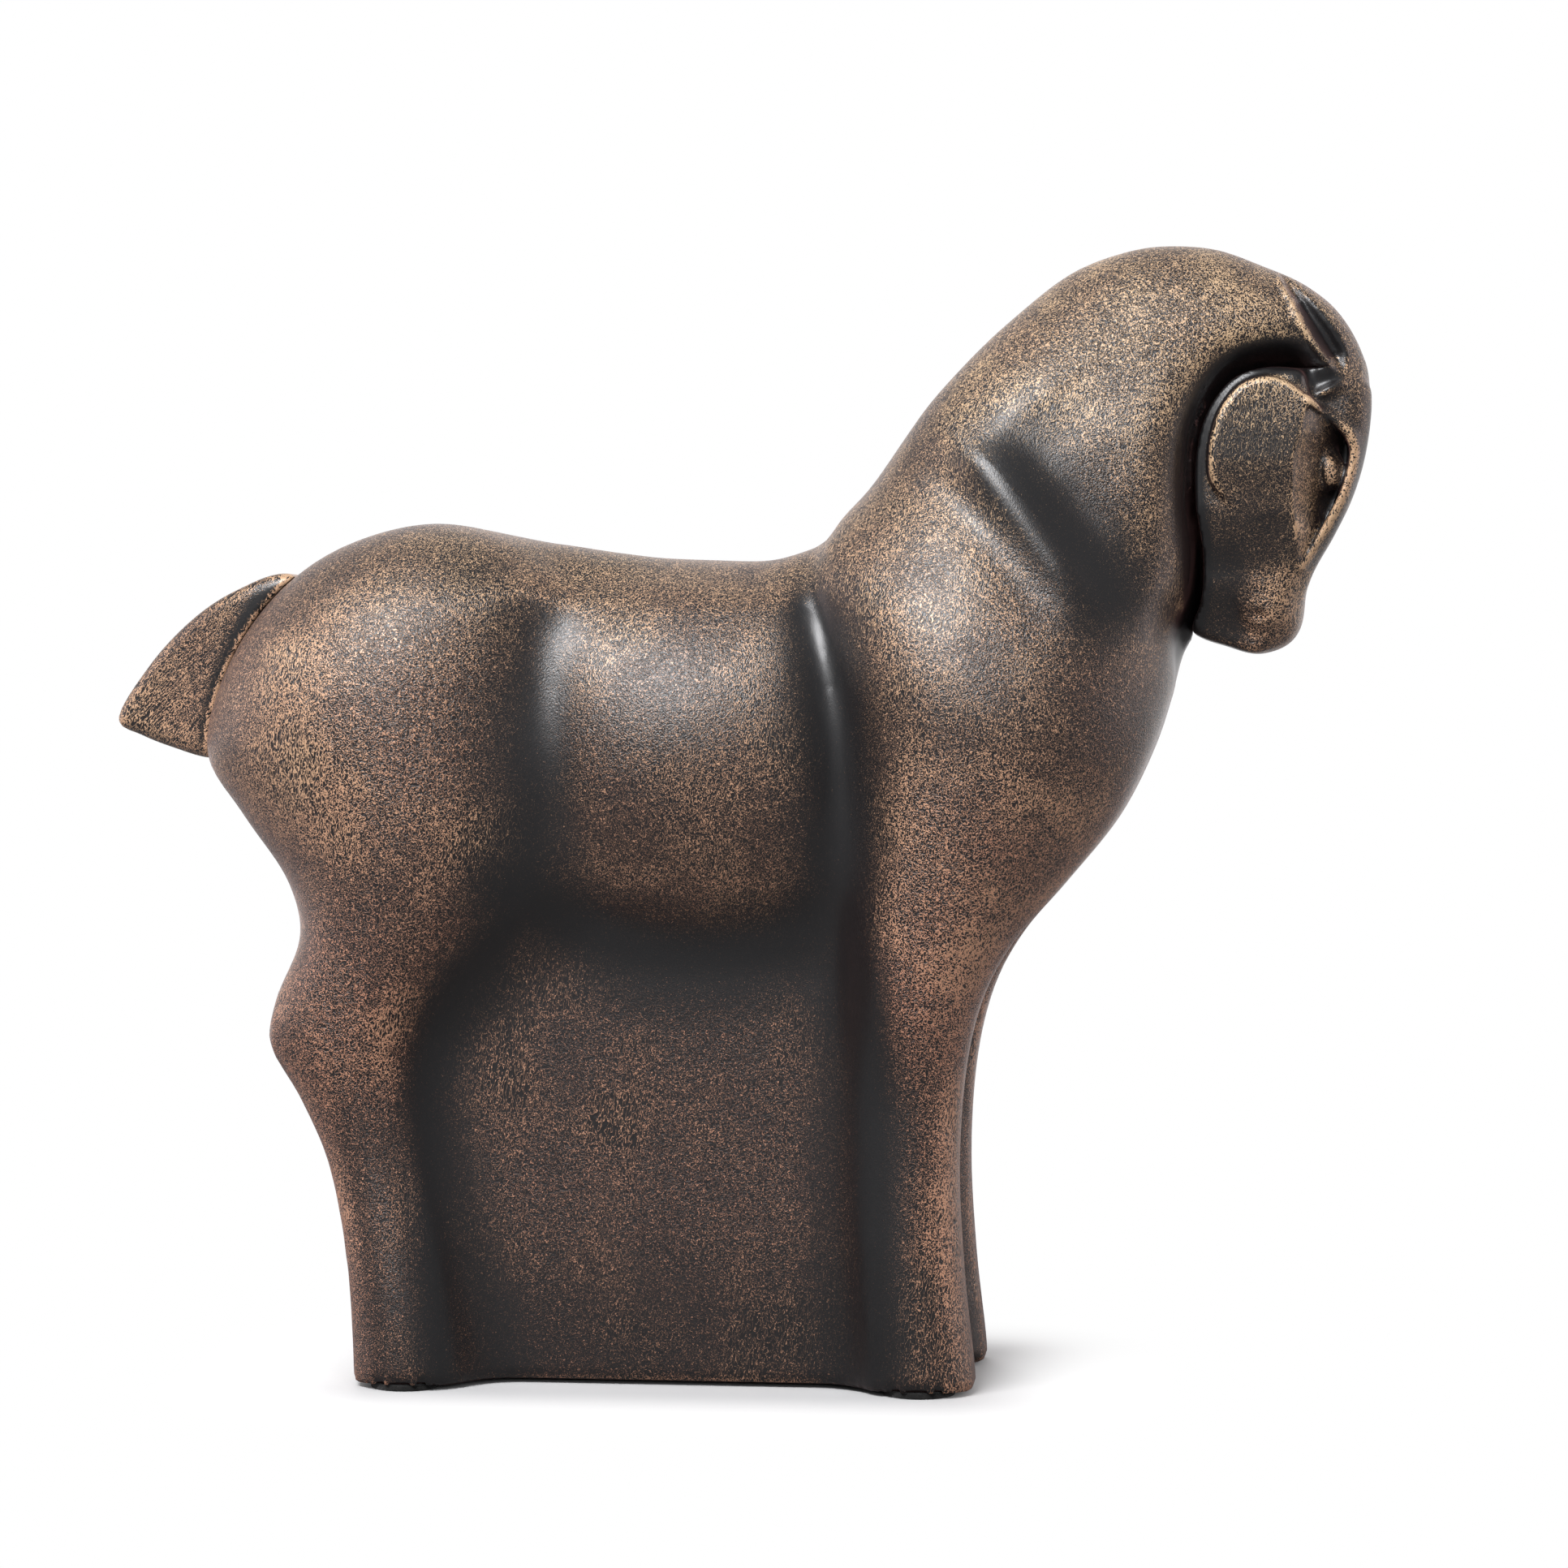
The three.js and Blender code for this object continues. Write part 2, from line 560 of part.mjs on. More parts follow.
// A shape of the side view carried right through from side to side.
function through(shape) {
  const depth = 4 * WIDEST;
  const geometry = new THREE.ExtrudeGeometry(shape, { depth, bevelEnabled: false });
  return geometry.rotateX(Math.PI / 2).translate(0, depth / 2, 0);
}

// A skin round everything that the given outlines of the side view hold.
function modelled(shapeAt, outlines, half, step) {
  const { min, max } = new THREE.Box3().setFromPoints(outlines.flat());
  return skin(shapeAt, [min.x - step, -half, min.y - step], [max.x + step, half, max.y + step], step);
}

// Holes for the dowels
const sockets = [
  ...HEAD_DOWELS.map((at) => bar(at, HEAD_DOWEL_LENGTH + 2 * GLUE, DOWEL_DIAMETER + 2 * GLUE)),
  bar(TAIL_DOWEL, TAIL_DOWEL_LENGTH + 2 * GLUE, DOWEL_DIAMETER + 2 * GLUE),
].map(solid);

// Body: the outer surface, less everything under it, the head, the hollow, the opening and the dowels.
let body = solid(modelled(bodyAt, BODY, WIDEST + BODY_STEP, BODY_STEP));
for (const cut of [
  underside(),
  jointBlock(GLUE),
  modelled(hollowAt, BODY, WIDEST, HOLLOW_STEP),
  panel(-PLATE_LEDGE, -FLOOR, ARCH + FLOOR + WALL),
  panel(GLUE, -FLOOR, ARCH + PLATE_THICKNESS + GLUE),
]) body = body.subtract(solid(cut));
for (const socket of sockets) body = body.subtract(socket);

// Head: everything of it inside the joint outline.
let head = solid(modelled(headAt, [HEAD], CHEEK_HALF + HEAD_STEP, HEAD_STEP));
head = head.intersect(solid(jointBlock(0)));
for (const socket of sockets) head = head.subtract(socket);

// Tail: cut off along the rump, an adhesive film away from it.
let tail = solid(modelled(tailAt, [TAIL], TAIL_ROOT_HALF + TAIL_STEP, TAIL_STEP));
tail = tail.subtract(solid(modelled(rumpAt, BODY, WIDEST + BODY_STEP, BODY_STEP)));
for (const socket of sockets) tail = tail.subtract(socket);

// Finishes
const resin = () => new THREE.MeshStandardMaterial({ color: "#4a3220", roughness: 0.5, metalness: 0.35 });
const plain = () => new THREE.MeshStandardMaterial({ color: "#2a2420", roughness: 0.8, metalness: 0 });
const steel = () => new THREE.MeshStandardMaterial({ color: "#9a9a9c", roughness: 0.35, metalness: 1 });
const felt = () => new THREE.MeshStandardMaterial({ color: "#161514", roughness: 1, metalness: 0 });

const horse = new THREE.Group();
horse.name = "horse_figurine";
const castings = new THREE.Group();
castings.name = "castings";
castings.position.z = PAD_THICKNESS + GLUE;
horse.add(castings);

function add(parent, name, geometry, material) {
  const mesh = new THREE.Mesh(geometry, material);
  mesh.name = name;
  parent.add(mesh);
  return mesh;
}

add(castings, "body_shell", drawn(body), resin());
add(castings, "head", drawn(head), resin());
add(castings, "tail", drawn(tail), resin());
add(castings, "base_plate", panel(0, ARCH, ARCH + PLATE_THICKNESS), plain());
add(castings, "head_dowel_upper", bar(HEAD_DOWELS[0], HEAD_DOWEL_LENGTH, DOWEL_DIAMETER), steel());
add(castings, "head_dowel_lower", bar(HEAD_DOWELS[1], HEAD_DOWEL_LENGTH, DOWEL_DIAMETER), steel());
add(castings, "tail_dowel", bar(TAIL_DOWEL, TAIL_DOWEL_LENGTH, DOWEL_DIAMETER), steel());

for (const [name, foot, side] of [
  ["felt_pad_front_left", FORE_FOOT, 1],
  ["felt_pad_front_right", FORE_FOOT, -1],
  ["felt_pad_rear_left", HIND_FOOT, 1],
  ["felt_pad_rear_right", HIND_FOOT, -1],
]) {
  const disc = new THREE.CylinderGeometry(PAD_DIAMETER / 2, PAD_DIAMETER / 2, PAD_THICKNESS, 32);
  const pad = add(horse, name, disc.rotateX(Math.PI / 2), felt());
  pad.position.set(foot.x, side * foot.y, PAD_THICKNESS / 2);
}

export default horse;
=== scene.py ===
import math
import bmesh
import bpy
import numpy as np
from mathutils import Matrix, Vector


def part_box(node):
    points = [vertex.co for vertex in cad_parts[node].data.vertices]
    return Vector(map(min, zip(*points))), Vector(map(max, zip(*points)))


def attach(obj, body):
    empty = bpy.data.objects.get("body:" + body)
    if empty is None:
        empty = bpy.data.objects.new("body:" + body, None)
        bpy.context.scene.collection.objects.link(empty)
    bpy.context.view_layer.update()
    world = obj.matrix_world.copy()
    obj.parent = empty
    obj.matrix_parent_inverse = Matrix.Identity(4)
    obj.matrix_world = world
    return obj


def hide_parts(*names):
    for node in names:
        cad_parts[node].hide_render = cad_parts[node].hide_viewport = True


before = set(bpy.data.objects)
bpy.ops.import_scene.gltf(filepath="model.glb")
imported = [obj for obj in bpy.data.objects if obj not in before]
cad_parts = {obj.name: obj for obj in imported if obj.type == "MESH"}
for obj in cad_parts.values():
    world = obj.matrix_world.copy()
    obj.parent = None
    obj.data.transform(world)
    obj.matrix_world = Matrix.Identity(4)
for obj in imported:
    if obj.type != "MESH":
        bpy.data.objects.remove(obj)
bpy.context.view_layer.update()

import openvdb
from mathutils import Vector

scene = bpy.context.scene
scene.view_settings.view_transform = "Standard"
mm = 0.001

# The figurine is sculpted as distances in millimetres: x along the horse, y out from its middle, z above the
# soles. Negative is inside. Flat arrays over x and z come first, and y is added last.


def smoothLine(points, closed, divisions=8):
    # centripetal Catmull-Rom through the points
    p = np.asarray(points, float)
    n = len(p)
    line = []
    for i in range(n if closed else n - 1):
        if closed:
            p0, p1, p2, p3 = (p[(i + k - 1) % n] for k in range(4))
        else:
            p1, p2 = p[i], p[i + 1]
            p0 = p[i - 1] if i > 0 else 2 * p1 - p2
            p3 = p[i + 2] if i + 2 < n else 2 * p2 - p1
        d0, d1, d2 = (np.linalg.norm(b - a) ** 0.5 for a, b in ((p0, p1), (p1, p2), (p2, p3)))
        m1 = ((p1 - p0) / d0 - (p2 - p0) / (d0 + d1) + (p2 - p1) / d1) * d1
        m2 = ((p2 - p1) / d1 - (p3 - p1) / (d1 + d2) + (p3 - p2) / d2) * d1
        for t in np.linspace(0, 1, divisions, endpoint=False):
            line.append((2 * t**3 - 3 * t**2 + 1) * p1 + (t**3 - 2 * t**2 + t) * m1
                        + (3 * t**2 - 2 * t**3) * p2 + (t**3 - t**2) * m2)
    if not closed:
        line.append(p[-1])
    return np.array(line)


def reach(points, x, z):
    # distance to a closed outline
    ring = smoothLine(points, True)
    nearest = np.full(np.broadcast(x, z).shape, 1e9)
    inside = np.zeros(nearest.shape, bool)
    for a, b in zip(np.roll(ring, 1, 0), ring):
        dx, dz = b - a
        share = np.clip(((x - a[0]) * dx + (z - a[1]) * dz) / (dx * dx + dz * dz), 0, 1)
        np.minimum(nearest, (x - a[0] - dx * share) ** 2 + (z - a[1] - dz * share) ** 2, out=nearest)
        if dz:
            inside ^= ((a[1] > z) != (b[1] > z)) & (x < a[0] + (z - a[1]) / dz * dx)
    return np.where(inside, -1, 1) * np.sqrt(nearest)


def nearLine(points, x, z):
    # distance to an open line, the share along it, and which side of it
    line = smoothLine(points, False)
    best = np.full(np.broadcast(x, z).shape, 1e9)
    along = np.zeros(best.shape)
    side = np.ones(best.shape)
    for i, (a, b) in enumerate(zip(line[:-1], line[1:])):
        dx, dz = b - a
        share = np.clip(((x - a[0]) * dx + (z - a[1]) * dz) / (dx * dx + dz * dz), 0, 1)
        gap = (x - a[0] - dx * share) ** 2 + (z - a[1] - dz * share) ** 2
        closer = gap < best
        best = np.where(closer, gap, best)
        along = np.where(closer, (i + share) / (len(line) - 1), along)
        side = np.where(closer, np.sign(dx * (z - a[1]) - dz * (x - a[0])), side)
    return np.sqrt(best), along, side


# Depth inside an outline, kept on one sheet over the side view. It spreads in from the edge like warmth, so the
# ridges that a plain distance has deep inside come out rounded.
sheet = {"low": (-207, -66), "high": (207, 345), "step": 1.5, "rounds": 700}
sheetX, sheetZ = (np.arange(round(a / sheet["step"]), round(b / sheet["step"]) + 1) * sheet["step"]
                  for a, b in zip(sheet["low"], sheet["high"]))


def inflate(points, spread):
    flat = reach(points, sheetX[:, None], sheetZ[None, :])
    edge = np.exp(np.minimum(flat, 0) / spread)
    held = (flat > -1.5 * sheet["step"])[1:-1, 1:-1]
    share = (spread / sheet["step"]) ** 2
    warmth = edge.copy()
    for _ in range(sheet["rounds"]):
        around = warmth[:-2, 1:-1] + warmth[2:, 1:-1] + warmth[1:-1, :-2] + warmth[1:-1, 2:]
        warmth[1:-1, 1:-1] = np.where(held, edge[1:-1, 1:-1], share * around / (1 + 4 * share))
    return np.where(flat > 0, flat, spread * np.log(warmth))


def onSheet(depths, x, z):
    u = np.clip((x - sheetX[0]) / sheet["step"], 0, len(sheetX) - 1.001)
    w = np.clip((z - sheetZ[0]) / sheet["step"], 0, len(sheetZ) - 1.001)
    i, k = np.floor(u + 1e-6).astype(int), np.floor(w + 1e-6).astype(int)
    u, w = u - i, w - k
    return ((depths[i, k] * (1 - u) + depths[i + 1, k] * u) * (1 - w)
            + (depths[i, k + 1] * (1 - u) + depths[i + 1, k + 1] * u) * w)


def blend(a, b, width):
    overlap = np.maximum(width - np.abs(a - b), 0)
    return np.minimum(a, b) - overlap * overlap / (4 * width)


def carve(a, b, width):
    return -blend(-a, b, width)


def smooth(v, low, high):
    t = np.clip((v - low) / (high - low), 0, 1)
    return t * t * (3 - 2 * t)


def ease(z, stops):
    out = np.full(np.shape(z), float(stops[0][1]))
    for (low, a), (high, b) in zip(stops[:-1], stops[1:]):
        out = np.where(z >= low, a + (b - a) * smooth(z, low, high), out)
    return out


def slab(side, y, half, rounding):
    across, out = side + rounding, np.abs(y) - half + rounding
    outer = np.hypot(np.maximum(across, 0), np.maximum(out, 0))
    return np.minimum(np.maximum(across, out), 0) + outer - rounding


def mass(shape, x, y, z):
    # an egg-shaped lump, one on each side where it stands out from the middle
    (cx, cy, cz), radii = shape["centre"], shape["radii"]
    c, s = math.cos(math.radians(shape.get("turn", 0))), math.sin(math.radians(shape.get("turn", 0)))
    p = ((x - cx) * c + (z - cz) * s, np.abs(y) - cy, (z - cz) * c - (x - cx) * s)
    near = np.sqrt(sum((v / r) ** 2 for v, r in zip(p, radii)))
    steep = np.sqrt(sum((v / r**2) ** 2 for v, r in zip(p, radii))) + 1e-9
    return near * (near - 1) / steep


def rimDrop(distance, radius):
    short = np.clip(1 - distance / radius, 0, 1)
    return radius * (1 - np.sqrt(1 - short * short))


def bell(v, width):
    return np.exp(-(v / width) ** 2)


def fade(along, start, end):
    return smooth(along, 0, start) * smooth(1 - along, 0, end)


# Where the back of the head meets the neck, from the throat up to the poll
seamLine = [(131, 209.5), (133.5, 219), (134, 231), (132, 245), (132, 258), (135, 270), (142, 279), (151, 282),
            (160, 282)]

horse = {
    "soleHeight": 2.0,  # felt and its adhesive under the feet
    "hindquarter": [
        (-50, 229), (-80, 241), (-110, 235), (-131, 220), (-146, 196), (-150, 175), (-139, 157), (-125, 138),
        (-121, 124), (-127, 106), (-128.5, 94), (-120, 78), (-112, 60), (-106, 30), (-104, 0), (-104, -20),
        (-104, -60), (-72, -60), (-72, -20), (-71, 0), (-77, 34), (-86, 75), (-85, 98), (-66, 120), (-48, 139),
        (-44, 165), (-47, 200)],
    "forehand": [
        (42, -60), (42, -20), (41, 3), (38, 48), (38, 110), (35, 150), (33, 180), (29, 210), (25, 226), (31, 240),
        (40, 250.5), (54, 270), (65, 283), (79, 297), (97, 311), (114, 317), (124, 318), (137, 316.8), (150, 312),
        (161, 307), (170, 300), (176.5, 290), (179.5, 280), (178, 270), (160, 265), (146, 240), (136, 216),
        (128.5, 205), (125, 193), (120, 178), (110, 158), (94, 138), (82, 124), (74, 110), (69, 92), (66.5, 62),
        (68, 30), (71, 2), (72, -20), (72, -60)],
    "core": [
        (-60, 236), (-30, 232.5), (-3, 229.3), (12, 230.5), (24, 234), (34, 238), (50, 250), (80, 275), (105, 280),
        (110, 240), (105, 190), (92, 150), (62, 112), (58, 60), (60, 0), (60, -60), (-94, -60), (-95, 0),
        (-97, 40), (-110, 85), (-110, 125), (-128, 160), (-136, 190), (-120, 213), (-90, 231)],
    "joint": seamLine + [
        (168, 282.5), (176, 283), (186, 283), (230, 280), (230, 180), (150, 195), (137, 203)],
    "spread": {"core": 12, "hindquarter": 15, "forehand": 15},  # how widely each mass is rounded
    "widths": [  # half width and rounding by height of core, haunch and forehand
        ([(112, 29), (165, 42), (300, 34)], [(112, 8), (165, 38), (300, 30)]),
        ([(0, 55), (75, 51), (165, 64)], [(90, 24), (165, 54)]),
        ([(0, 51), (75, 49), (165, 66)], [(100, 22), (165, 44), (240, 44), (300, 31)])],
    "neckHalf": [(165, 66), (240, 49), (300, 35)], "neckLean": (0.35, 115),  # by height along the lean
    "barrel": {"centre": (-7, 0, 174), "radii": (68, 54, 56)},
    # away from the silhouette the masses run together more softly: each blend's width, and its gain by height
    "inner": (3, 16),
    "barrelBlend": (4, [(0, 8)]), "foreBlend": (4, [(100, 13), (180, 5)]),
    "haunchBlend": (5, [(20, 13), (120, 15), (190, 14)]),
    "clefts": [
        [(76, -30), (75, 0), (73, 38), (72.5, 63), (75, 93), (85, 116)],
        [(-110, -30), (-110, 0), (-111, 31), (-115, 53), (-123, 73), (-133, 94), (-131, 115), (-134, 146)]],
    "cleft": (15, 8),  # radius and softness
    "creases": [  # line, depth, half width
        ([(22, 234), (25, 222), (28.5, 207), (31, 193), (32.5, 176), (34, 158), (37, 138)], 2.2, 6.5),
        ([(-52, 224), (-50.5, 209), (-47, 193), (-44, 176), (-43, 158), (-45, 143)], 1.2, 9.0),
        ([(-46, 141), (-36, 132), (-23, 127.5), (-7, 125.5), (9, 127.5), (23, 133), (33, 143)], 1.2, 6.0)],
    "creaseFade": (0.25, 0.25),
    "fold": {  # groove as depth, place and width, ridge as height and width
        "line": [(57, 280), (68.5, 260), (74, 253), (80.5, 245.4), (89.4, 234.3), (98.2, 222.2), (106.4, 209)],
        "hollow": 4.5, "hollowFade": (0.5, 0.4), "falls": (3, 16), "rises": (18, 58),
        "groove": (1.2, 11, 6), "ridge": (2.2, 5.5), "ridgeFade": (0.3, 0.25)},
    "lock": {
        "leaf": [
            (153.8, 310), (155.4, 304.5), (157.6, 300.5), (160.3, 294.5), (163.2, 289.3), (166.6, 285), (169, 282.6),
            (171.8, 281.6), (172.8, 286.5), (170, 292.5), (165.6, 298.6), (160.5, 304.4), (157, 308.5)],
        "lipLine": [
            (153.6, 311), (155.2, 305.2), (157.4, 301), (160.1, 295), (163, 289.8), (166.4, 285.3), (168.6, 283)],
        "sunk": 2.6, "slope": (-0.6, 3.8), "lip": (1.1, 1.1), "lipFade": (0.15, 0.1)},  # lip as height and width
    "relief": (5, 18),  # all this relief sets in between these distances from the middle
    "seat": {  # ledge round the head with its half width by height, lip as height, place and width
        "ledge": 3.0, "half": [(208, 17), (225, 23.5), (245, 30)], "ends": (156, 166), "middle": (3, 14),
        "roll": 12, "rollStart": 0.5, "clear": 40, "soft": 3, "lip": (2.2, 1.6, 1.2)},
    # lines the brush hardly reached: bare within the first distance, as usual beyond the second, and the share of
    # the line over which this sets in
    "bare": [
        ([(69, 270), (77, 261), (85, 250), (94, 238.5), (103.5, 228), (109, 218)], -3, 25, 0.35),
        ([(26, 226), (29, 209), (32, 193), (34, 176), (35, 158), (35, 140)], -1, 21, 0.2),
        ([(-55, 226), (-54, 211), (-51, 193), (-50, 176), (-50, 158), (-52, 140)], -6, 17, 0.6),
        ([(-56, 136), (-36, 125), (-23, 120), (-7, 118.5), (9, 120), (23, 125), (34, 134)], -1, 23, 0.0),
        ([(-76, -6), (-80, 46), (-83, 82), (-76, 106), (-62, 124), (-52, 140)], -1, 13, 0.0),
        ([(43, -6), (43, 55), (41, 95), (37, 125), (35, 140)], 1, 16, 0.0),
        (seamLine, 3.5, 10, 0.25)],
    # share of bronze by height
    "brushed": [(12, 0.5), (50, 0.78), (85, 0.7), (125, 0.5), (150, 0.34), (184, 0.34), (212, 0.42), (235, 0.45),
                (262, 0.42), (276, 0.5), (290, 0.66)],
    # the web between the legs was brushed more lightly, chest and rump more heavily
    "web": {"share": 0.4, "out": (30, 37), "top": (105, 130), "back": (-100, -70), "front": (30, 50)},
    "chest": {"more": 0.32, "back": (40, 60), "bottom": (80, 115), "top": (150, 185)},
    "rump": {"more": 0.2, "front": (-85, -55), "bottom": (130, 160), "top": (195, 235)},
    "sole": -1.4, "soleEdge": 1.5,  # the felt sits in shallow sockets, so the soles nearly touch the table
    "padGap": 0.6,
    "arch": (0.5, (-80, -68), (30, 46)),  # the underside rises this much between these places
    "plate": ((-17.5, 0, 4), (69.3, 21.3, 4.3), 12),  # centre, half sizes and corner of the rebate
    "glue": 0.3,
    # where the mesh is made finer: along the lip, the leaf and the fold, from so far out
    "fine": {"rim": (0.4, 4.5), "rimFront": 168, "rimInset": 4, "leaf": 2.5, "leafOut": 7, "fold": 3.5, "foldOut": 20},
    "box": ((-156, -68, -6), (184, 68, 324)), "step": 2.0,
}

coreDepth, hindDepth, foreDepth = (inflate(horse[k], horse["spread"][k]) for k in ("core", "hindquarter", "forehand"))
print("side view drawn")


def bodyShape(x, y, z):
    core, hind, fore = (onSheet(depths, x, z) for depths in (coreDepth, hindDepth, foreDepth))
    joint, out = reach(horse["joint"], x, z), np.abs(y)
    (coreHalf, coreRound), (haunchHalf, haunchRound), (legHalf, foreRound) = (
        [ease(z, stops) for stops in pair] for pair in horse["widths"])
    lean, foot = horse["neckLean"]
    foreHalf = np.minimum(legHalf, ease(z + lean * (x - foot), horse["neckHalf"]))
    inner = smooth(-core, *horse["inner"])
    f = slab(core, y, coreHalf, coreRound)
    for part, key in ((mass(horse["barrel"], x, y, z), "barrelBlend"),
                      (slab(hind, y, haunchHalf, haunchRound), "haunchBlend"),
                      (slab(fore, y, foreHalf, foreRound), "foreBlend")):
        least, gain = horse[key]
        f = blend(f, part, least + inner * ease(z, gain))
    radius, soft = horse["cleft"]
    for line in horse["clefts"]:
        f = carve(f, np.hypot(nearLine(line, x, z)[0], y) - radius, soft)

    # a narrow fold down the side of the neck, with a wide hollow on the head's side and a shallow groove behind it
    fold = horse["fold"]
    gap, along, side = nearLine(fold["line"], x, z)
    off = gap * side
    hollow = fade(along, *fold["hollowFade"]) * fold["hollow"]
    press = hollow * smooth(off, *fold["falls"]) * (1 - smooth(off, *fold["rises"]))
    (groove, behind, grooveWidth), (ridge, ridgeWidth) = fold["groove"], fold["ridge"]
    pinch = groove * bell(off + behind, grooveWidth) - ridge * bell(off, ridgeWidth)
    press = press + fade(along, *fold["ridgeFade"]) * pinch
    for line, depth, width in horse["creases"]:
        gap, along, side = nearLine(line, x, z)
        press = press + fade(along, *horse["creaseFade"]) * depth * bell(gap, width)
    # the forelock: a flat leaf sunk between a thin lip and the crest
    lock = horse["lock"]
    press = press + lock["sunk"] * smooth(-reach(lock["leaf"], x, z), *lock["slope"])
    gap, along, side = nearLine(lock["lipLine"], x, z)
    height, width = lock["lip"]
    press = press - height * bell(gap, width) * fade(along, *lock["lipFade"])
    f = f + press * smooth(out, *horse["relief"])
    # the neck rolls down to a ledge round the head, edged with a thin lip
    seat = horse["seat"]
    ahead, outside = smooth(x, *seat["ends"]), smooth(out, *seat["middle"])
    f = f + rimDrop(joint - seat["ledge"] + seat["rollStart"], seat["roll"]) * (1 - ahead) * outside
    f = carve(f, np.maximum(joint - seat["ledge"], ease(z, seat["half"]) + seat["clear"] * ahead - out), seat["soft"])
    height, place, width = seat["lip"]
    return f - height * bell(joint - place, width) * (1 - ahead) * outside


padCorners = ("front_left", "front_right", "rear_left", "rear_right")
padSockets = []
for corner in padCorners:
    low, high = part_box("felt_pad_" + corner)
    centre = ((low.x + high.x) / 2 / mm, (low.y + high.y) / 2 / mm)
    padSockets.append((centre, (high.x - low.x) / 2 / mm + horse["padGap"]))


def bodyPiece(x, y, z):
    f = np.maximum(bodyShape(x, y, z), horse["glue"] - reach(horse["joint"], x, z))
    rise, back, front = horse["arch"]
    underside = z - horse["sole"] - rise * smooth(x, *back) * (1 - smooth(x, *front))
    f = -blend(-f, underside, horse["soleEdge"])
    for (cx, cy), radius in padSockets:
        f = np.maximum(f, -np.maximum(np.hypot(x - cx, y - cy) - radius, z))
    (cx, cy, cz), (hx, hy, hz), corner = horse["plate"]
    px, py = np.abs(x - cx) - hx + corner, np.abs(y - cy) - hy + corner
    rebate = np.hypot(np.maximum(px, 0), np.maximum(py, 0)) + np.minimum(np.maximum(px, py), 0) - corner
    return np.maximum(f, -np.maximum(rebate, np.abs(z - cz) - hz))


head = {
    "skull": [
        (179.8, 276), (179.5, 267), (177.8, 257), (174.5, 246.5), (170, 237), (164.5, 227), (160.5, 217),
        (155.5, 208), (149, 204), (140, 206), (131, 209.5), (126, 216), (126, 245), (126, 262), (131, 276),
        (141, 287), (151, 291), (163, 293), (172, 295), (177.5, 288)],
    "jaw": [
        (161, 281), (152, 282), (145, 279), (141, 271), (139.5, 258), (140.5, 240), (141, 226), (144, 217),
        (150, 213), (156, 218), (160, 228), (163, 236), (165.5, 245), (167.5, 256), (167, 266), (163, 273)],
    "cheek": [
        (162.4, 273.4), (160, 275.8), (156.3, 278.3), (151.8, 279.6), (147.6, 279.3), (143, 277), (138, 270.8),
        (135.5, 263), (135, 258), (135.3, 252), (137.5, 247.5), (141.3, 243.7), (145.8, 241.8), (152, 240.4),
        (160, 241), (165, 246), (168, 256), (168, 264), (165.5, 269.4)],
    "socket": [
        (162.6, 272), (166.2, 269.6), (169.2, 267.3), (172.4, 264.3), (174.2, 260.4), (174, 256.5), (173, 252.3),
        (170.9, 246.4), (168.1, 241), (164.8, 235.5), (162.2, 231), (160.6, 229.2), (158.9, 235.5), (158.3, 244),
        (158.2, 256), (160.4, 264.5), (161.3, 269.4)],
    "brow": [
        (162.4, 273.1), (166.5, 270.8), (169.8, 268.5), (173.6, 265.1), (175.6, 260.6), (175.4, 256.5), (174.3, 252.1),
        (172.1, 246), (169.3, 240.4), (165.9, 234.8), (163.3, 230.3), (161, 227.4)],
    "front": (146, 160),  # the cheeks give way to the narrower face between these places
    "inset": 4, "faceHalf": [(208, 14), (225, 16.5), (250, 20)], "skullRound": (3, 5),
    "jawHalf": [(220, 18), (250, 27.5)], "jawRound": 4, "jawBlend": 4,
    "cheekHalf": [(238, 25.8), (258, 30.8)], "cheekRound": 2.2, "cheekBlend": 1.2,
    "sill": [(226, 20), (240, 25.8), (258, 30.8)],  # half width where the cheek turns into the socket, by height
    "sillEdge": [(229, 158.6), (256, 157.8), (266, 160.6)],
    "floor": (1.6, 10.5, 3),  # slope of the socket's floor, its least half width and how softly it levels out
    "socketEdge": (0.3, 1.2),
    "browLip": (0.9, 1.4, (6, 12)),  # height, width, and where it sets in
    "muzzle": {"centre": (151.5, 0, 216), "radii": (9.5, 16.5, 11), "turn": 25, "blend": 4},
    "lid": {"centre": (167.6, 14.1, 255.6), "radii": (4.6, 3.2, 6.8), "turn": 14, "blend": 2.5},
    "eye": {"centre": (168, 14.9, 254.6), "radii": (3.2, 4.6, 5.2), "turn": 14, "blend": 0.6},
    "ear": {"centre": (168.4, 18.4, 276.8), "radii": (8.4, 4.4, 1.8), "turn": 31, "blend": 1.8},
    "nostril": {"centre": (148.3, 18.6, 213.8), "radii": (2.6, 2.5, 2.0), "turn": 20, "blend": 1.6},
    "poll": ((-7, -0.5), (160, 169)),  # it turns into the crest towards the joint and the front
    # runs over the crest at the poll and dips into it, where the joint was filled
    "lap": {"over": 5, "dips": (2.2, 4.8), "dip": 0.3, "front": (166, 169), "film": 0.05},
    "brushed": [(212, 0.64), (222, 0.6), (231, 0.26), (240, 0.23), (246, 0.3), (262, 0.21), (272, 0.34), (284, 0.6)],
    "bare": [(seamLine, 1.2, 3.0, 0.0), ([(160, 281), (164, 280), (168, 279.5)], 1.5, 5.0, 0.0)],
    "throat": {"less": 0.75, "front": (142, 149), "top": (226, 240)},  # brushed less than the rest
    "socketMore": (0.4, (-0.5, 1.5)),  # and the socket more
    "clear": (0.2, 0.8),
    "box": ((124, -34, 198), (186, 34, 300)), "step": 0.75,
}


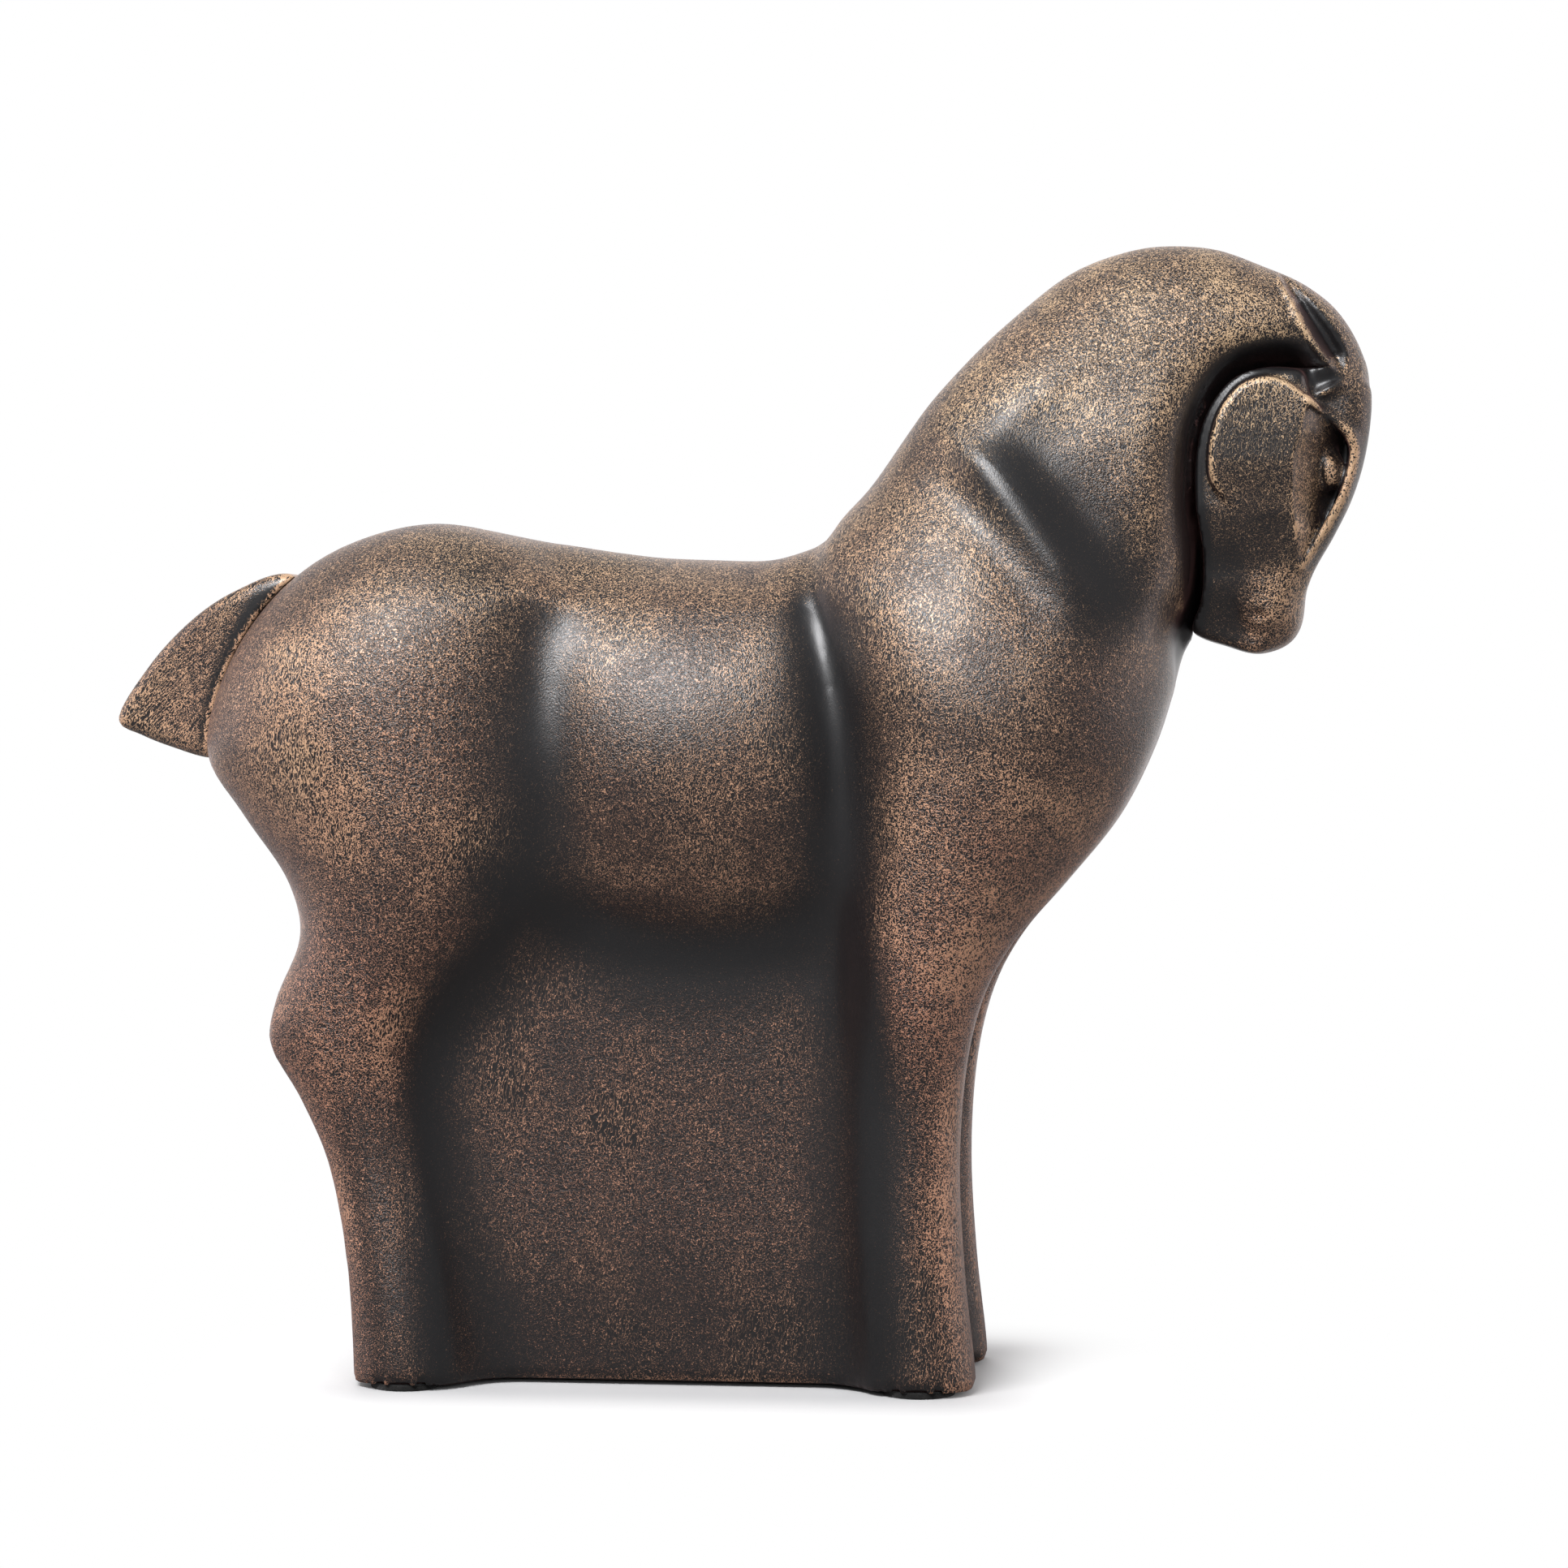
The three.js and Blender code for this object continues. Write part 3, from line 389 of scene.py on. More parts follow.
def headShape(x, y, z):
    skull, jaw, cheek, socket = (reach(head[k], x, z) for k in ("skull", "jaw", "cheek", "socket"))
    joint, out = reach(horse["joint"], x, z), np.abs(y)
    front = smooth(x, *head["front"])
    half = (ease(z, horse["seat"]["half"]) - head["inset"]) * (1 - front) + ease(z, head["faceHalf"]) * front
    least, gain = head["skullRound"]
    f = slab(skull, y, half, least + gain * front)
    f = blend(f, slab(jaw, y, ease(z, head["jawHalf"]), head["jawRound"]), head["jawBlend"])
    f = blend(f, slab(cheek, y, ease(z, head["cheekHalf"]), head["cheekRound"]), head["cheekBlend"])
    f = blend(f, mass(head["muzzle"], x, y, z), head["muzzle"]["blend"])
    slope, least, soft = head["floor"]
    floor = ease(z, head["sill"]) - slope * (x - ease(z, head["sillEdge"]))
    floor = -blend(-floor, np.full(np.shape(floor), -least), soft)
    rim, soft = head["socketEdge"]
    f = carve(f, np.maximum(socket + rim, floor - out), soft)
    height, width, sideways = head["browLip"]
    f = f - height * bell(nearLine(head["brow"], x, z)[0], width) * smooth(out, *sideways)
    for lump in ("lid", "eye", "ear"):
        f = blend(f, mass(head[lump], x, y, z), head[lump]["blend"])
    f = carve(f, mass(head["nostril"], x, y, z), head["nostril"]["blend"])
    # the poll runs on from the crest without a step
    near, ahead = head["poll"]
    share = smooth(joint, *near) * smooth(x, *ahead)
    return f * (1 - share) + bodyShape(x, y, z) * share


def headPiece(x, y, z):
    # bedded in the adhesive, which is pressed out flush
    joint, lap = reach(horse["joint"], x, z), head["lap"]
    ahead = smooth(x, *lap["front"])
    f = headShape(x, y, z) + ahead * (lap["dip"] * smooth(joint, *lap["dips"]) - lap["film"])
    return np.maximum(f, joint - horse["glue"] - lap["film"] - lap["over"] * ahead)


tail = {
    "outline": [
        (-180.2, 184.5), (-170.5, 201), (-156, 214.5), (-142, 222.5), (-127, 227), (-116, 220), (-122, 195),
        (-136, 176), (-150, 174), (-163, 177), (-173, 180.5)],
    "halfTip": 5, "halfRoot": 17, "rounding": 4,
    "widens": (-180, -135),
    "brushed": 0.41, "comb": 0.45,
    "box": ((-186, -22, 168), (-112, 22, 234)), "step": 1.0,
}


def tailShape(x, y, z):
    half = tail["halfTip"] + (tail["halfRoot"] - tail["halfTip"]) * smooth(x, *tail["widens"])
    return slab(reach(tail["outline"], x, z), y, half, tail["rounding"])


def tailPiece(x, y, z):
    return np.maximum(tailShape(x, y, z), horse["glue"] - bodyShape(x, y, z))


def lattice(low, high, step):
    first = np.floor(np.array(low) / step)
    last = np.ceil(np.array(high) / step)
    axes = [np.arange(a, b + 1) * step for a, b in zip(first, last)]
    return first * step, (axes[0][:, None, None], axes[1][None, :, None], axes[2][None, None, :])


def sample(values, low, step, points):
    # values of a lattice between its nodes
    q = np.clip((points - low) / step, 0, np.array(values.shape) - 1.001)
    i = q.astype(int)
    f = q - i
    total = 0
    for dx in (0, 1):
        for dy in (0, 1):
            for dz in (0, 1):
                weight = (np.abs(1 - dx - f[:, 0]) * np.abs(1 - dy - f[:, 1]) * np.abs(1 - dz - f[:, 2]))
                total = total + weight * values[i[:, 0] + dx, i[:, 1] + dy, i[:, 2] + dz]
    return total


# The whole horse on one coarse lattice, to read how open or how sharp its surface is at each place
whole = {"low": (-200, -84, -6), "high": (204, 84, 342), "step": 2.0, "probes": (5, 10, 20), "keenSpan": 1.6}
wholeLow, wholeAxes = lattice(whole["low"], whole["high"], whole["step"])
wholeShape = np.minimum(np.minimum(bodyShape(*wholeAxes), headPiece(*wholeAxes)), tailShape(*wholeAxes))
print("whole lattice", wholeShape.shape)


def openness(points, normals):
    # 1 where nothing stands near the surface, 0 deep in a crease
    total = 0
    for distance in whole["probes"]:
        ahead = sample(wholeShape, wholeLow, whole["step"], points + normals * distance)
        total = total + np.clip(ahead / distance, 0, 1)
    return total / len(whole["probes"])


def sharpness(values, low, step, points, spread):
    # positive on ridges and edges, negative in grooves, in 1/mm
    total = -6 * sample(values, low, step, points)
    for offset in np.vstack([np.eye(3), -np.eye(3)]) * spread:
        total = total + sample(values, low, step, points + offset)
    return total / spread**2


# How open a place has to be, where bare lines set in, what is left out at the joint, and how sharp an edge has to be
brushing = {"clear": (0.62, 0.97), "middle": (6, 16), "seam": (1, 3), "poll": ((158, 166), (274, 277)),
            "keen": (0.25, 0.7)}


def brushed(points, normals, keen, share, lines, clear):
    # share of bronze: open places and sharp edges take it, creases and the bare lines don't
    x, z = points[:, 0], points[:, 2]
    free = smooth(openness(points, normals), *clear)
    bare = np.zeros(len(points))
    for line, near, far, start in lines:
        gap, along, side = nearLine(line, x, z)
        bare = np.maximum(bare, (1 - smooth(gap, near, far)) * smooth(along, -0.001, start))
    bare = bare * smooth(np.abs(points[:, 1]), *brushing["middle"])
    front, top = brushing["poll"]
    seam = smooth(np.abs(reach(horse["joint"], x, z)), *brushing["seam"]) * (1 - smooth(x, *front) * smooth(z, *top))
    return free * (1 - bare) * share(points), smooth(keen, *brushing["keen"]) * (1 - bare) ** 2 * seam


def bodyShare(points):
    x, out, z = points[:, 0], np.abs(points[:, 1]), points[:, 2]
    web, chest, rump = horse["web"], horse["chest"], horse["rump"]
    onWeb = (1 - smooth(out, *web["out"])) * (1 - smooth(z, *web["top"])) * smooth(x, *web["back"])
    onWeb = onWeb * (1 - smooth(x, *web["front"]))
    onChest = chest["more"] * smooth(x, *chest["back"]) * smooth(z, *chest["bottom"]) * (1 - smooth(z, *chest["top"]))
    onRump = rump["more"] * (1 - smooth(x, *rump["front"])) * smooth(z, *rump["bottom"]) * (1 - smooth(z, *rump["top"]))
    return (ease(z, horse["brushed"]) + onChest + onRump) * (1 - (1 - web["share"]) * onWeb)


def headShare(points):
    x, z = points[:, 0], points[:, 2]
    throat, (more, rim) = head["throat"], head["socketMore"]
    onThroat = (1 - smooth(x, *throat["front"])) * (1 - smooth(z, *throat["top"]))
    inSocket = more * smooth(-reach(head["socket"], x, z), *rim)
    return ease(z, head["brushed"]) * (1 - throat["less"] * onThroat) + inSocket


def tailShare(points):
    return np.full(len(points), tail["brushed"])


def neckDetail(x, y, z):
    # where the body has lips and folds finer than its lattice
    fine, out = horse["fine"], np.abs(y)
    joint, lock = reach(horse["joint"], x, z), reach(horse["lock"]["leaf"], x, z)
    gap, along, side = nearLine(horse["fold"]["line"], x, z)
    start, end = fine["rim"]
    rim = (joint > start) & (joint < end) & (x < fine["rimFront"])
    rim = rim & (out > ease(z, horse["seat"]["half"]) - fine["rimInset"])
    leaf = (lock < fine["leaf"]) & (joint > start) & (out > fine["leafOut"])
    return rim | leaf | ((gap < fine["fold"]) & (out > fine["foldOut"]))


refining = {"halvings": 2, "pulls": 2, "probe": 0.2, "leastSlope": 0.2, "farthest": 0.6}  # mm


def refined(points, quads, shape, near):
    # halves the faces in the chosen places and pulls their corners onto the true surface
    build = bmesh.new()
    corners = [build.verts.new(point) for point in points]
    for quad in quads:
        build.faces.new([corners[i] for i in quad])
    for turn in range(refining["halvings"]):
        middles = np.array([face.calc_center_median() for face in build.faces])
        edges = {edge for face, chosen in zip(build.faces, near(*middles.T)) if chosen for edge in face.edges}
        inOrder = [edge for edge in build.edges if edge in edges]
        bmesh.ops.subdivide_edges(build, edges=inOrder, cuts=1, use_grid_fill=True)
    build.verts.index_update()
    points = np.array([vert.co[:] for vert in build.verts])
    faces = [[vert.index for vert in face.verts] for face in build.faces]
    build.free()
    chosen = near(*points.T)
    moved = points[chosen]
    value = shape(*moved.T)
    probe, farthest = refining["probe"], refining["farthest"]
    slope = np.stack([shape(*(moved + e).T) - value for e in np.eye(3) * probe], 1) / probe
    steep = np.maximum((slope**2).sum(1), refining["leastSlope"])
    for turn in range(refining["pulls"]):
        moved = moved - slope * np.clip(value / steep, -farthest, farthest)[:, None]
        value = shape(*moved.T)
    points[chosen] = moved
    return points, faces


def sculpted(name, shape, settings, share, near=None):
    step = settings["step"]
    start, axes = lattice(*settings["box"], step)
    values = shape(*axes)
    grid = openvdb.FloatGrid(3 * step)
    grid.copyFromArray(values.astype(np.float32))
    points, quads = grid.convertToQuads(0.0)
    points, faces = np.asarray(points, float) * step + start, quads.tolist()
    if near:
        points, faces = refined(points, faces, shape, near)
    normals = np.stack([sample(values, start, step, points + e) - sample(values, start, step, points - e)
                        for e in np.eye(3) * step], 1)
    normals /= np.linalg.norm(normals, axis=1, keepdims=True) + 1e-9

    mesh = bpy.data.meshes.new(name)
    mesh.from_pydata(((points + (0, 0, horse["soleHeight"])) * mm).tolist(), [], faces)
    mesh.polygons.foreach_set("use_smooth", np.ones(len(faces), bool))
    keen = sharpness(values, start, step, points, max(whole["keenSpan"], step))
    lines, clear = settings.get("bare", ()), settings.get("clear", brushing["clear"])
    for label, data in zip(("brush", "edge"), brushed(points, normals, keen, share, lines, clear)):
        mesh.attributes.new(label, "FLOAT", "POINT").data.foreach_set("value", data.astype(np.float32))
        print(name, label, np.percentile(data, [5, 25, 50, 75, 95]).round(2))
    mesh.update()
    piece = bpy.data.objects.new(name, mesh)
    scene.collection.objects.link(piece)
    print(name, len(points), "points", len(faces), "faces")
    return piece


bodyObject = sculpted("castBody", bodyPiece, horse, bodyShare, neckDetail)
headObject = sculpted("castHead", headPiece, head, headShare)
tailObject = sculpted("castTail", tailPiece, tail, tailShare)


def colour(code):
    # sRGB hex to linear
    parts = [int(code[i:i + 2], 16) / 255 for i in (1, 3, 5)]
    return tuple(c / 12.92 if c <= 0.04045 else ((c + 0.055) / 1.055) ** 2.4 for c in parts) + (1.0,)


def addNode(tree, kind, inputs=None, **settings):
    node = tree.nodes.new(kind)
    for key, value in settings.items():
        setattr(node, key, value)
    for key, value in (inputs or {}).items():
        if isinstance(value, bpy.types.NodeSocket):
            tree.links.new(value, node.inputs[key])
        else:
            node.inputs[key].default_value = value
    return node


def startMaterial(name):
    material = bpy.data.materials.new(name)
    material.use_nodes = True
    tree = material.node_tree
    tree.nodes.clear()
    return material, tree, addNode(tree, "ShaderNodeTexCoord").outputs["Object"]


# Polyresin cast in a rubber mould that took a fine pebbled grain, sprayed near-black in satin lacquer, then
# dry-brushed with bronze paint. The brush only catches the tops of the grain and the edges, so open places
# are dusted with copper and gold dots that run together where it pressed, and creases stay black and smooth.
patina = {
    "lacquer": "#121113", "glaze": "#2b1f1b",
    "copper": "#e3a585", "gold": "#e7c69c",
    "golden": (110, 290, -0.4, 0.35),  # two heights in mm, and the gain of gold at each
    "grain": 0.65, "crumb": 0.3, "cluster": 1.7, "patch": 40,  # mm
    "wrinkle": (0.55, 0.7, 1.7), "wrinkleTurn": 8,  # mm along, out and up, degrees
    "pulled": (0.46, 0.62, 0.85),  # patches between these values turn to wrinkles, up to this share
    "comb": 0.0, "combTurn": -40, "combSize": (9, 1.4, 0.5),
    "waver": 0.6, "combWaver": 0.3,
    "slope": (0.5, 0.8), "ragged": 0.3,  # noise from the top of a grain to its foot, and how far crumbs shift it
    "pressure": (0.65, 1.35, 0.72, 1.28),  # patches and clusters together, and what they do to the brush
    "dot": 0.47, "dotEdge": 0.18,  # shares of the grain
    "grainDepth": 0.5, "coatDepth": 0.14, "reliefShare": (0.85, 0.05),  # mm, and relief by brush and without it
    "ior": 1.5, "specular": 0.5, "lacquerRoughness": 0.38, "bronzeRoughness": 0.42, "bronzeMetallic": 0.15,
    "coat": 1.0, "coatRoughness": 0.36, "sheen": 0.25, "sheenTint": "#c08a86", "sheenRoughness": 0.35,
}


def patinatedResin(name, finish):
    material, tree, place = startMaterial(name)
    perMm = 1 / mm
    brush = addNode(tree, "ShaderNodeAttribute", attribute_name="brush").outputs["Fac"]
    edge = addNode(tree, "ShaderNodeAttribute", attribute_name="edge").outputs["Fac"]
    level = addNode(tree, "ShaderNodeSeparateXYZ", {0: place}).outputs["Z"]
    patches, clusters, crumbs = (
        addNode(tree, "ShaderNodeTexNoise", {
            "Vector": place, "Scale": perMm / finish[size], "Detail": detail, "Roughness": fine}).outputs["Fac"]
        for size, detail, fine in (("patch", 3.0, 0.6), ("cluster", 2.0, 0.5), ("crumb", 1.0, 0.5)))

    # distance from the top of each grain, pulled into upright wrinkles in patches
    grains = addNode(tree, "ShaderNodeTexNoise", {
        "Vector": place, "Scale": perMm / finish["grain"], "Detail": 0.0,
        "Distortion": finish["waver"]}).outputs["Fac"]
    upright = addNode(tree, "ShaderNodeMapping", {
        "Vector": place, "Rotation": (0, math.radians(finish["wrinkleTurn"]), 0),
        "Scale": tuple(size * mm for size in finish["wrinkle"])}, vector_type="TEXTURE").outputs["Vector"]
    wrinkles = addNode(tree, "ShaderNodeTexNoise", {
        "Vector": upright, "Scale": 1.0, "Detail": 0.0, "Distortion": finish["waver"]}).outputs["Fac"]
    low, high, most = finish["pulled"]
    pulled = addNode(tree, "ShaderNodeMapRange", {
        "Value": patches, "From Min": low, "From Max": high, "To Max": most}).outputs["Result"]
    slope = addNode(tree, "ShaderNodeMix", {0: pulled, 2: grains, 3: wrinkles}).outputs[0]
    if finish["comb"]:
        along = addNode(tree, "ShaderNodeMapping", {
            "Vector": place, "Rotation": (0, math.radians(finish["combTurn"]), 0),
            "Scale": tuple(size * mm for size in finish["combSize"])}, vector_type="TEXTURE").outputs["Vector"]
        strands = addNode(tree, "ShaderNodeTexNoise", {
            "Vector": along, "Scale": 1.0, "Detail": 0.0, "Distortion": finish["combWaver"]}).outputs["Fac"]
        slope = addNode(tree, "ShaderNodeMix", {0: finish["comb"], 2: slope, 3: strands}).outputs[0]
    low, high = finish["slope"]
    slope = addNode(tree, "ShaderNodeMapRange", {
        "Value": slope, "From Min": low, "From Max": high}, clamp=False).outputs["Result"]
    slope = addNode(tree, "ShaderNodeMath", {0: slope}, operation="ABSOLUTE").outputs[0]
    ragged = addNode(tree, "ShaderNodeMath", {
        0: crumbs, 1: finish["ragged"], 2: slope}, operation="MULTIPLY_ADD").outputs[0]
    ragged = addNode(tree, "ShaderNodeMath", {0: ragged, 1: finish["ragged"] / 2}, operation="SUBTRACT").outputs[0]

    # how far down the grain the brush reached
    pressure = addNode(tree, "ShaderNodeMath", {0: patches, 1: clusters}, operation="ADD").outputs[0]
    low, high, light, heavy = finish["pressure"]
    pressure = addNode(tree, "ShaderNodeMapRange", {
        "Value": pressure, "From Min": low, "From Max": high, "To Min": light, "To Max": heavy}).outputs["Result"]
    cover = addNode(tree, "ShaderNodeMath", {0: brush, 1: pressure}, operation="MULTIPLY").outputs[0]
    cover = addNode(tree, "ShaderNodeMath", {0: edge, 1: cover}, operation="ADD").outputs[0]
    caught = addNode(tree, "ShaderNodeMath", {0: cover, 1: finish["dot"]}, operation="MULTIPLY").outputs[0]
    caught = addNode(tree, "ShaderNodeMath", {0: caught, 1: ragged}, operation="SUBTRACT").outputs[0]
    bronze = addNode(tree, "ShaderNodeMapRange", {"Value": caught, "From Max": finish["dotEdge"]},
                     interpolation_type="SMOOTHSTEP").outputs["Result"]

    # copper low down and in patches, turning to pale gold towards the top
    low, high, less, more = finish["golden"]
    lift = addNode(tree, "ShaderNodeMapRange", {
        "Value": level, "From Min": low * mm, "From Max": high * mm, "To Min": less, "To Max": more}).outputs["Result"]
    golden = addNode(tree, "ShaderNodeMath", {0: patches, 1: lift}, operation="ADD", use_clamp=True).outputs[0]
    paint, ground = (
        addNode(tree, "ShaderNodeMix", {0: share, 6: colour(finish[a]), 7: colour(finish[b])},
                data_type="RGBA").outputs[2]
        for share, a, b in ((golden, "copper", "gold"), (brush, "lacquer", "glaze")))
    skin = addNode(tree, "ShaderNodeMix", {0: bronze, 6: ground, 7: paint}, data_type="RGBA").outputs[2]
    rough = addNode(tree, "ShaderNodeMapRange", {
        "Value": bronze, "To Min": finish["lacquerRoughness"], "To Max": finish["bronzeRoughness"]}).outputs["Result"]
    metal = addNode(tree, "ShaderNodeMath", {0: bronze, 1: finish["bronzeMetallic"]}, operation="MULTIPLY").outputs[0]
    height = addNode(tree, "ShaderNodeMath", {0: 1.0, 1: ragged}, operation="SUBTRACT").outputs[0]
    brushedShare, plainShare = finish["reliefShare"]
    depth = addNode(tree, "ShaderNodeMath", {
        0: brush, 1: brushedShare, 2: plainShare}, operation="MULTIPLY_ADD").outputs[0]
    # the clear coat fills most of the grain
    relief, filled = (
        addNode(tree, "ShaderNodeBump", {
            "Height": height, "Strength": depth, "Distance": finish[k] * mm}).outputs["Normal"]
        for k in ("grainDepth", "coatDepth"))
    shader = addNode(tree, "ShaderNodeBsdfPrincipled", {
        "Base Color": skin, "Roughness": rough, "Metallic": metal, "Normal": relief, "Coat Normal": filled,
        "IOR": finish["ior"], "Specular IOR Level": finish["specular"], "Coat Weight": finish["coat"],
        "Coat Roughness": finish["coatRoughness"], "Sheen Weight": finish["sheen"],
        "Sheen Roughness": finish["sheenRoughness"], "Sheen Tint": colour(finish["sheenTint"])})
    addNode(tree, "ShaderNodeOutputMaterial", {"Surface": shader.outputs["BSDF"]})
    return material


bodyResin = patinatedResin("patinatedPolyresin", patina)
tailResin = patinatedResin("patinatedPolyresinTail", {**patina, "comb": tail["comb"]})
print("patina mixed")


def surfaced(material, tree, height, finish, inputs):
    # the relief, shader and output that the plainer materials share
    relief = addNode(tree, "ShaderNodeBump", {
        "Height": height, "Strength": finish["reliefShare"], "Distance": finish["reliefDepth"] * mm}).outputs["Normal"]
    shader = addNode(tree, "ShaderNodeBsdfPrincipled", {"Normal": relief, **inputs})
    addNode(tree, "ShaderNodeOutputMaterial", {"Surface": shader.outputs["BSDF"]})
    return material


# Flat resin plate, poured face up and painted matt: dull, with a faint ripple and brush streaks.
plateFinish = {"colour": "#2b2622", "streak": "#37312b", "ripple": 6, "streakSize": (22, 1.4, 4),  # mm
               "reliefShare": 0.3, "reliefDepth": 0.2, "roughness": 0.7, "ior": 1.5}


def paintedPlate():
    material, tree, place = startMaterial("mattPaintedPolyresin")
    along = addNode(tree, "ShaderNodeMapping", {
        "Vector": place, "Scale": tuple(1 / (size * mm) for size in plateFinish["streakSize"])}).outputs["Vector"]
    streaks = addNode(tree, "ShaderNodeTexNoise", {"Vector": along, "Scale": 1.0, "Detail": 3.0}).outputs["Fac"]
    ripple = addNode(tree, "ShaderNodeTexNoise", {
        "Vector": place, "Scale": 1 / (plateFinish["ripple"] * mm), "Detail": 2.0}).outputs["Fac"]
    tint = addNode(tree, "ShaderNodeMix", {
        0: streaks, 6: colour(plateFinish["colour"]), 7: colour(plateFinish["streak"])},
        data_type="RGBA").outputs[2]
    return surfaced(material, tree, ripple, plateFinish, {
        "Base Color": tint, "Roughness": plateFinish["roughness"], "IOR": plateFinish["ior"]})


# Mild steel rod drawn through a die: bright, with fine lines along its length, drawn coarser than life to show.
rodFinish = {"colour": "#a3a19e", "line": (30, 0.5, 0.5), "roughness": (0.28, 0.42),
             "reliefShare": 0.2, "reliefDepth": 0.05}  # mm


def drawnSteel():
    material, tree, place = startMaterial("drawnSteel")
    along = addNode(tree, "ShaderNodeMapping", {
        "Vector": place, "Scale": tuple(1 / (size * mm) for size in rodFinish["line"])}).outputs["Vector"]
    lines = addNode(tree, "ShaderNodeTexNoise", {"Vector": along, "Scale": 1.0, "Detail": 2.0}).outputs["Fac"]
    rough = addNode(tree, "ShaderNodeMapRange", {
        "Value": lines, "To Min": rodFinish["roughness"][0], "To Max": rodFinish["roughness"][1]}).outputs["Result"]
    return surfaced(material, tree, lines, rodFinish, {
        "Base Color": colour(rodFinish["colour"]), "Metallic": 1.0, "Roughness": rough})


# Pressed wool felt: dull black with a soft nap and pale stray fibres.
feltFinish = {"colour": "#131211", "fibre": "#2c2927", "fibreSize": 0.6, "clump": 3.0,  # mm
              "stray": (0.25, 0.45), "reliefShare": 0.8, "reliefDepth": 0.3,
              "roughness": 0.95, "sheen": 0.3, "ior": 1.5}


def pressedFelt():
    material, tree, place = startMaterial("pressedFelt")
    fibres = addNode(tree, "ShaderNodeTexNoise", {
        "Vector": place, "Scale": 1 / (feltFinish["fibreSize"] * mm), "Detail": 3.0, "Distortion": 2.0}).outputs["Fac"]
    clumps = addNode(tree, "ShaderNodeTexNoise", {
        "Vector": place, "Scale": 1 / (feltFinish["clump"] * mm), "Detail": 2.0}).outputs["Fac"]
    nap = addNode(tree, "ShaderNodeMath", {0: fibres, 1: clumps}, operation="MULTIPLY").outputs[0]
    low, high = feltFinish["stray"]
    stray = addNode(tree, "ShaderNodeMapRange", {"Value": nap, "From Min": low, "From Max": high}).outputs["Result"]
    tint = addNode(tree, "ShaderNodeMix", {0: stray, 6: colour(feltFinish["colour"]), 7: colour(feltFinish["fibre"])},
                   data_type="RGBA").outputs[2]
    return surfaced(material, tree, fibres, feltFinish, {
        "Base Color": tint, "Roughness": feltFinish["roughness"], "Sheen Weight": feltFinish["sheen"],
        "IOR": feltFinish["ior"]})


for piece, node, resin in ((bodyObject, "body_shell", bodyResin), (headObject, "head", bodyResin),
                           (tailObject, "tail", tailResin)):
    piece.data.materials.append(resin)
    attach(piece, "root")
    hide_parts(node)

plateResin, steel, felt = paintedPlate(), drawnSteel(), pressedFelt()
for node, material in (("base_plate", plateResin), ("head_dowel_upper", steel), ("head_dowel_lower", steel),
                       ("tail_dowel", steel)):
    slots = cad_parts[node].data.materials
    slots.clear()
    slots.append(material)

# Felt discs: punched, so the edge leans in a little, the rim is soft and the outline frays in small waves
disc = {"around": 56, "fray": 0.006, "waves": (7, 11), "phase": 90,
        "profile": [(0.0, 0.0), (0.62, 0.0), (0.93, 0.0), (0.985, 0.06), (1.0, 0.3), (0.985, 0.75),
                    (0.95, 0.95), (0.88, 1.0), (0.55, 1.0), (0.0, 1.0)]}  # shares of radius and height


def feltDisc(name, node):
    low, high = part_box(node)
    centre, radius, height = (low + high) / 2, (high.x - low.x) / 2, high.z - low.z
    mesh = bpy.data.meshes.new(name)
    build = bmesh.new()
    first, second = disc["waves"]
    rings = []
    for out, up in disc["profile"]:
        if out == 0:
            rings.append([build.verts.new((centre.x, centre.y, low.z + up * height))])
            continue
        ring = []
        for turn in range(disc["around"]):
            angle = 2 * math.pi * turn / disc["around"]
            wave = math.sin(first * angle + centre.x * disc["phase"]) * math.cos(second * angle)
            fray = 1 - disc["fray"] * (1 + wave)
            ring.append(build.verts.new((centre.x + radius * out * fray * math.cos(angle),
                                         centre.y + radius * out * fray * math.sin(angle), low.z + up * height)))
        rings.append(ring)
    for lower, upper in zip(rings[:-1], rings[1:]):
        for i in range(disc["around"]):
            j = (i + 1) % disc["around"]
            corners = [lower[i % len(lower)], lower[j % len(lower)], upper[j % len(upper)], upper[i % len(upper)]]
            build.faces.new(list(dict.fromkeys(corners)))
    bmesh.ops.recalc_face_normals(build, faces=build.faces[:])
    for face in build.faces:
        face.smooth = True
    build.to_mesh(mesh)
    build.free()
    mesh.materials.append(felt)
    pad = bpy.data.objects.new(name, mesh)
    scene.collection.objects.link(pad)
    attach(pad, "root")
    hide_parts(node)


for corner in padCorners:
    feltDisc("feltPad" + corner.title().replace("_", ""), "felt_pad_" + corner)
print("pieces dressed")

# White sweep: the floor takes the real shadow near the horse, and round the feet its glow is held back as a painted
# shade, which runs out to plain white. The sweep stands behind the horse, so only reflections that look back that
# way show it, and the room in front of it is dim.
stage = {"size": 6.0, "paper": "#e6e6e6", "shade": "#7c7c7c", "lift": 0.4, "sweep": (0.6, 1.0),
         "middle": (-0.016, 0.0), "feet": (0.075, 0.04), "shadow": 0.05, "white": 0.07}  # metres


def sweepSeen(tree, place):
    path = addNode(tree, "ShaderNodeLightPath").outputs
    behind = addNode(tree, "ShaderNodeSeparateXYZ", {0: place}).outputs["Y"]
    behind = addNode(tree, "ShaderNodeMapRange", {
        "Value": behind, "From Min": stage["sweep"][0], "From Max": stage["sweep"][1]}).outputs["Result"]
    mirrored = addNode(tree, "ShaderNodeMath", {0: path["Is Glossy Ray"], 1: behind}, operation="MULTIPLY").outputs[0]
    seen = addNode(tree, "ShaderNodeMath", {0: path["Is Camera Ray"], 1: mirrored}, operation="MAXIMUM").outputs[0]
    return addNode(tree, "ShaderNodeMath", {0: seen, 1: path["Is Transmission Ray"]}, operation="MAXIMUM").outputs[0]


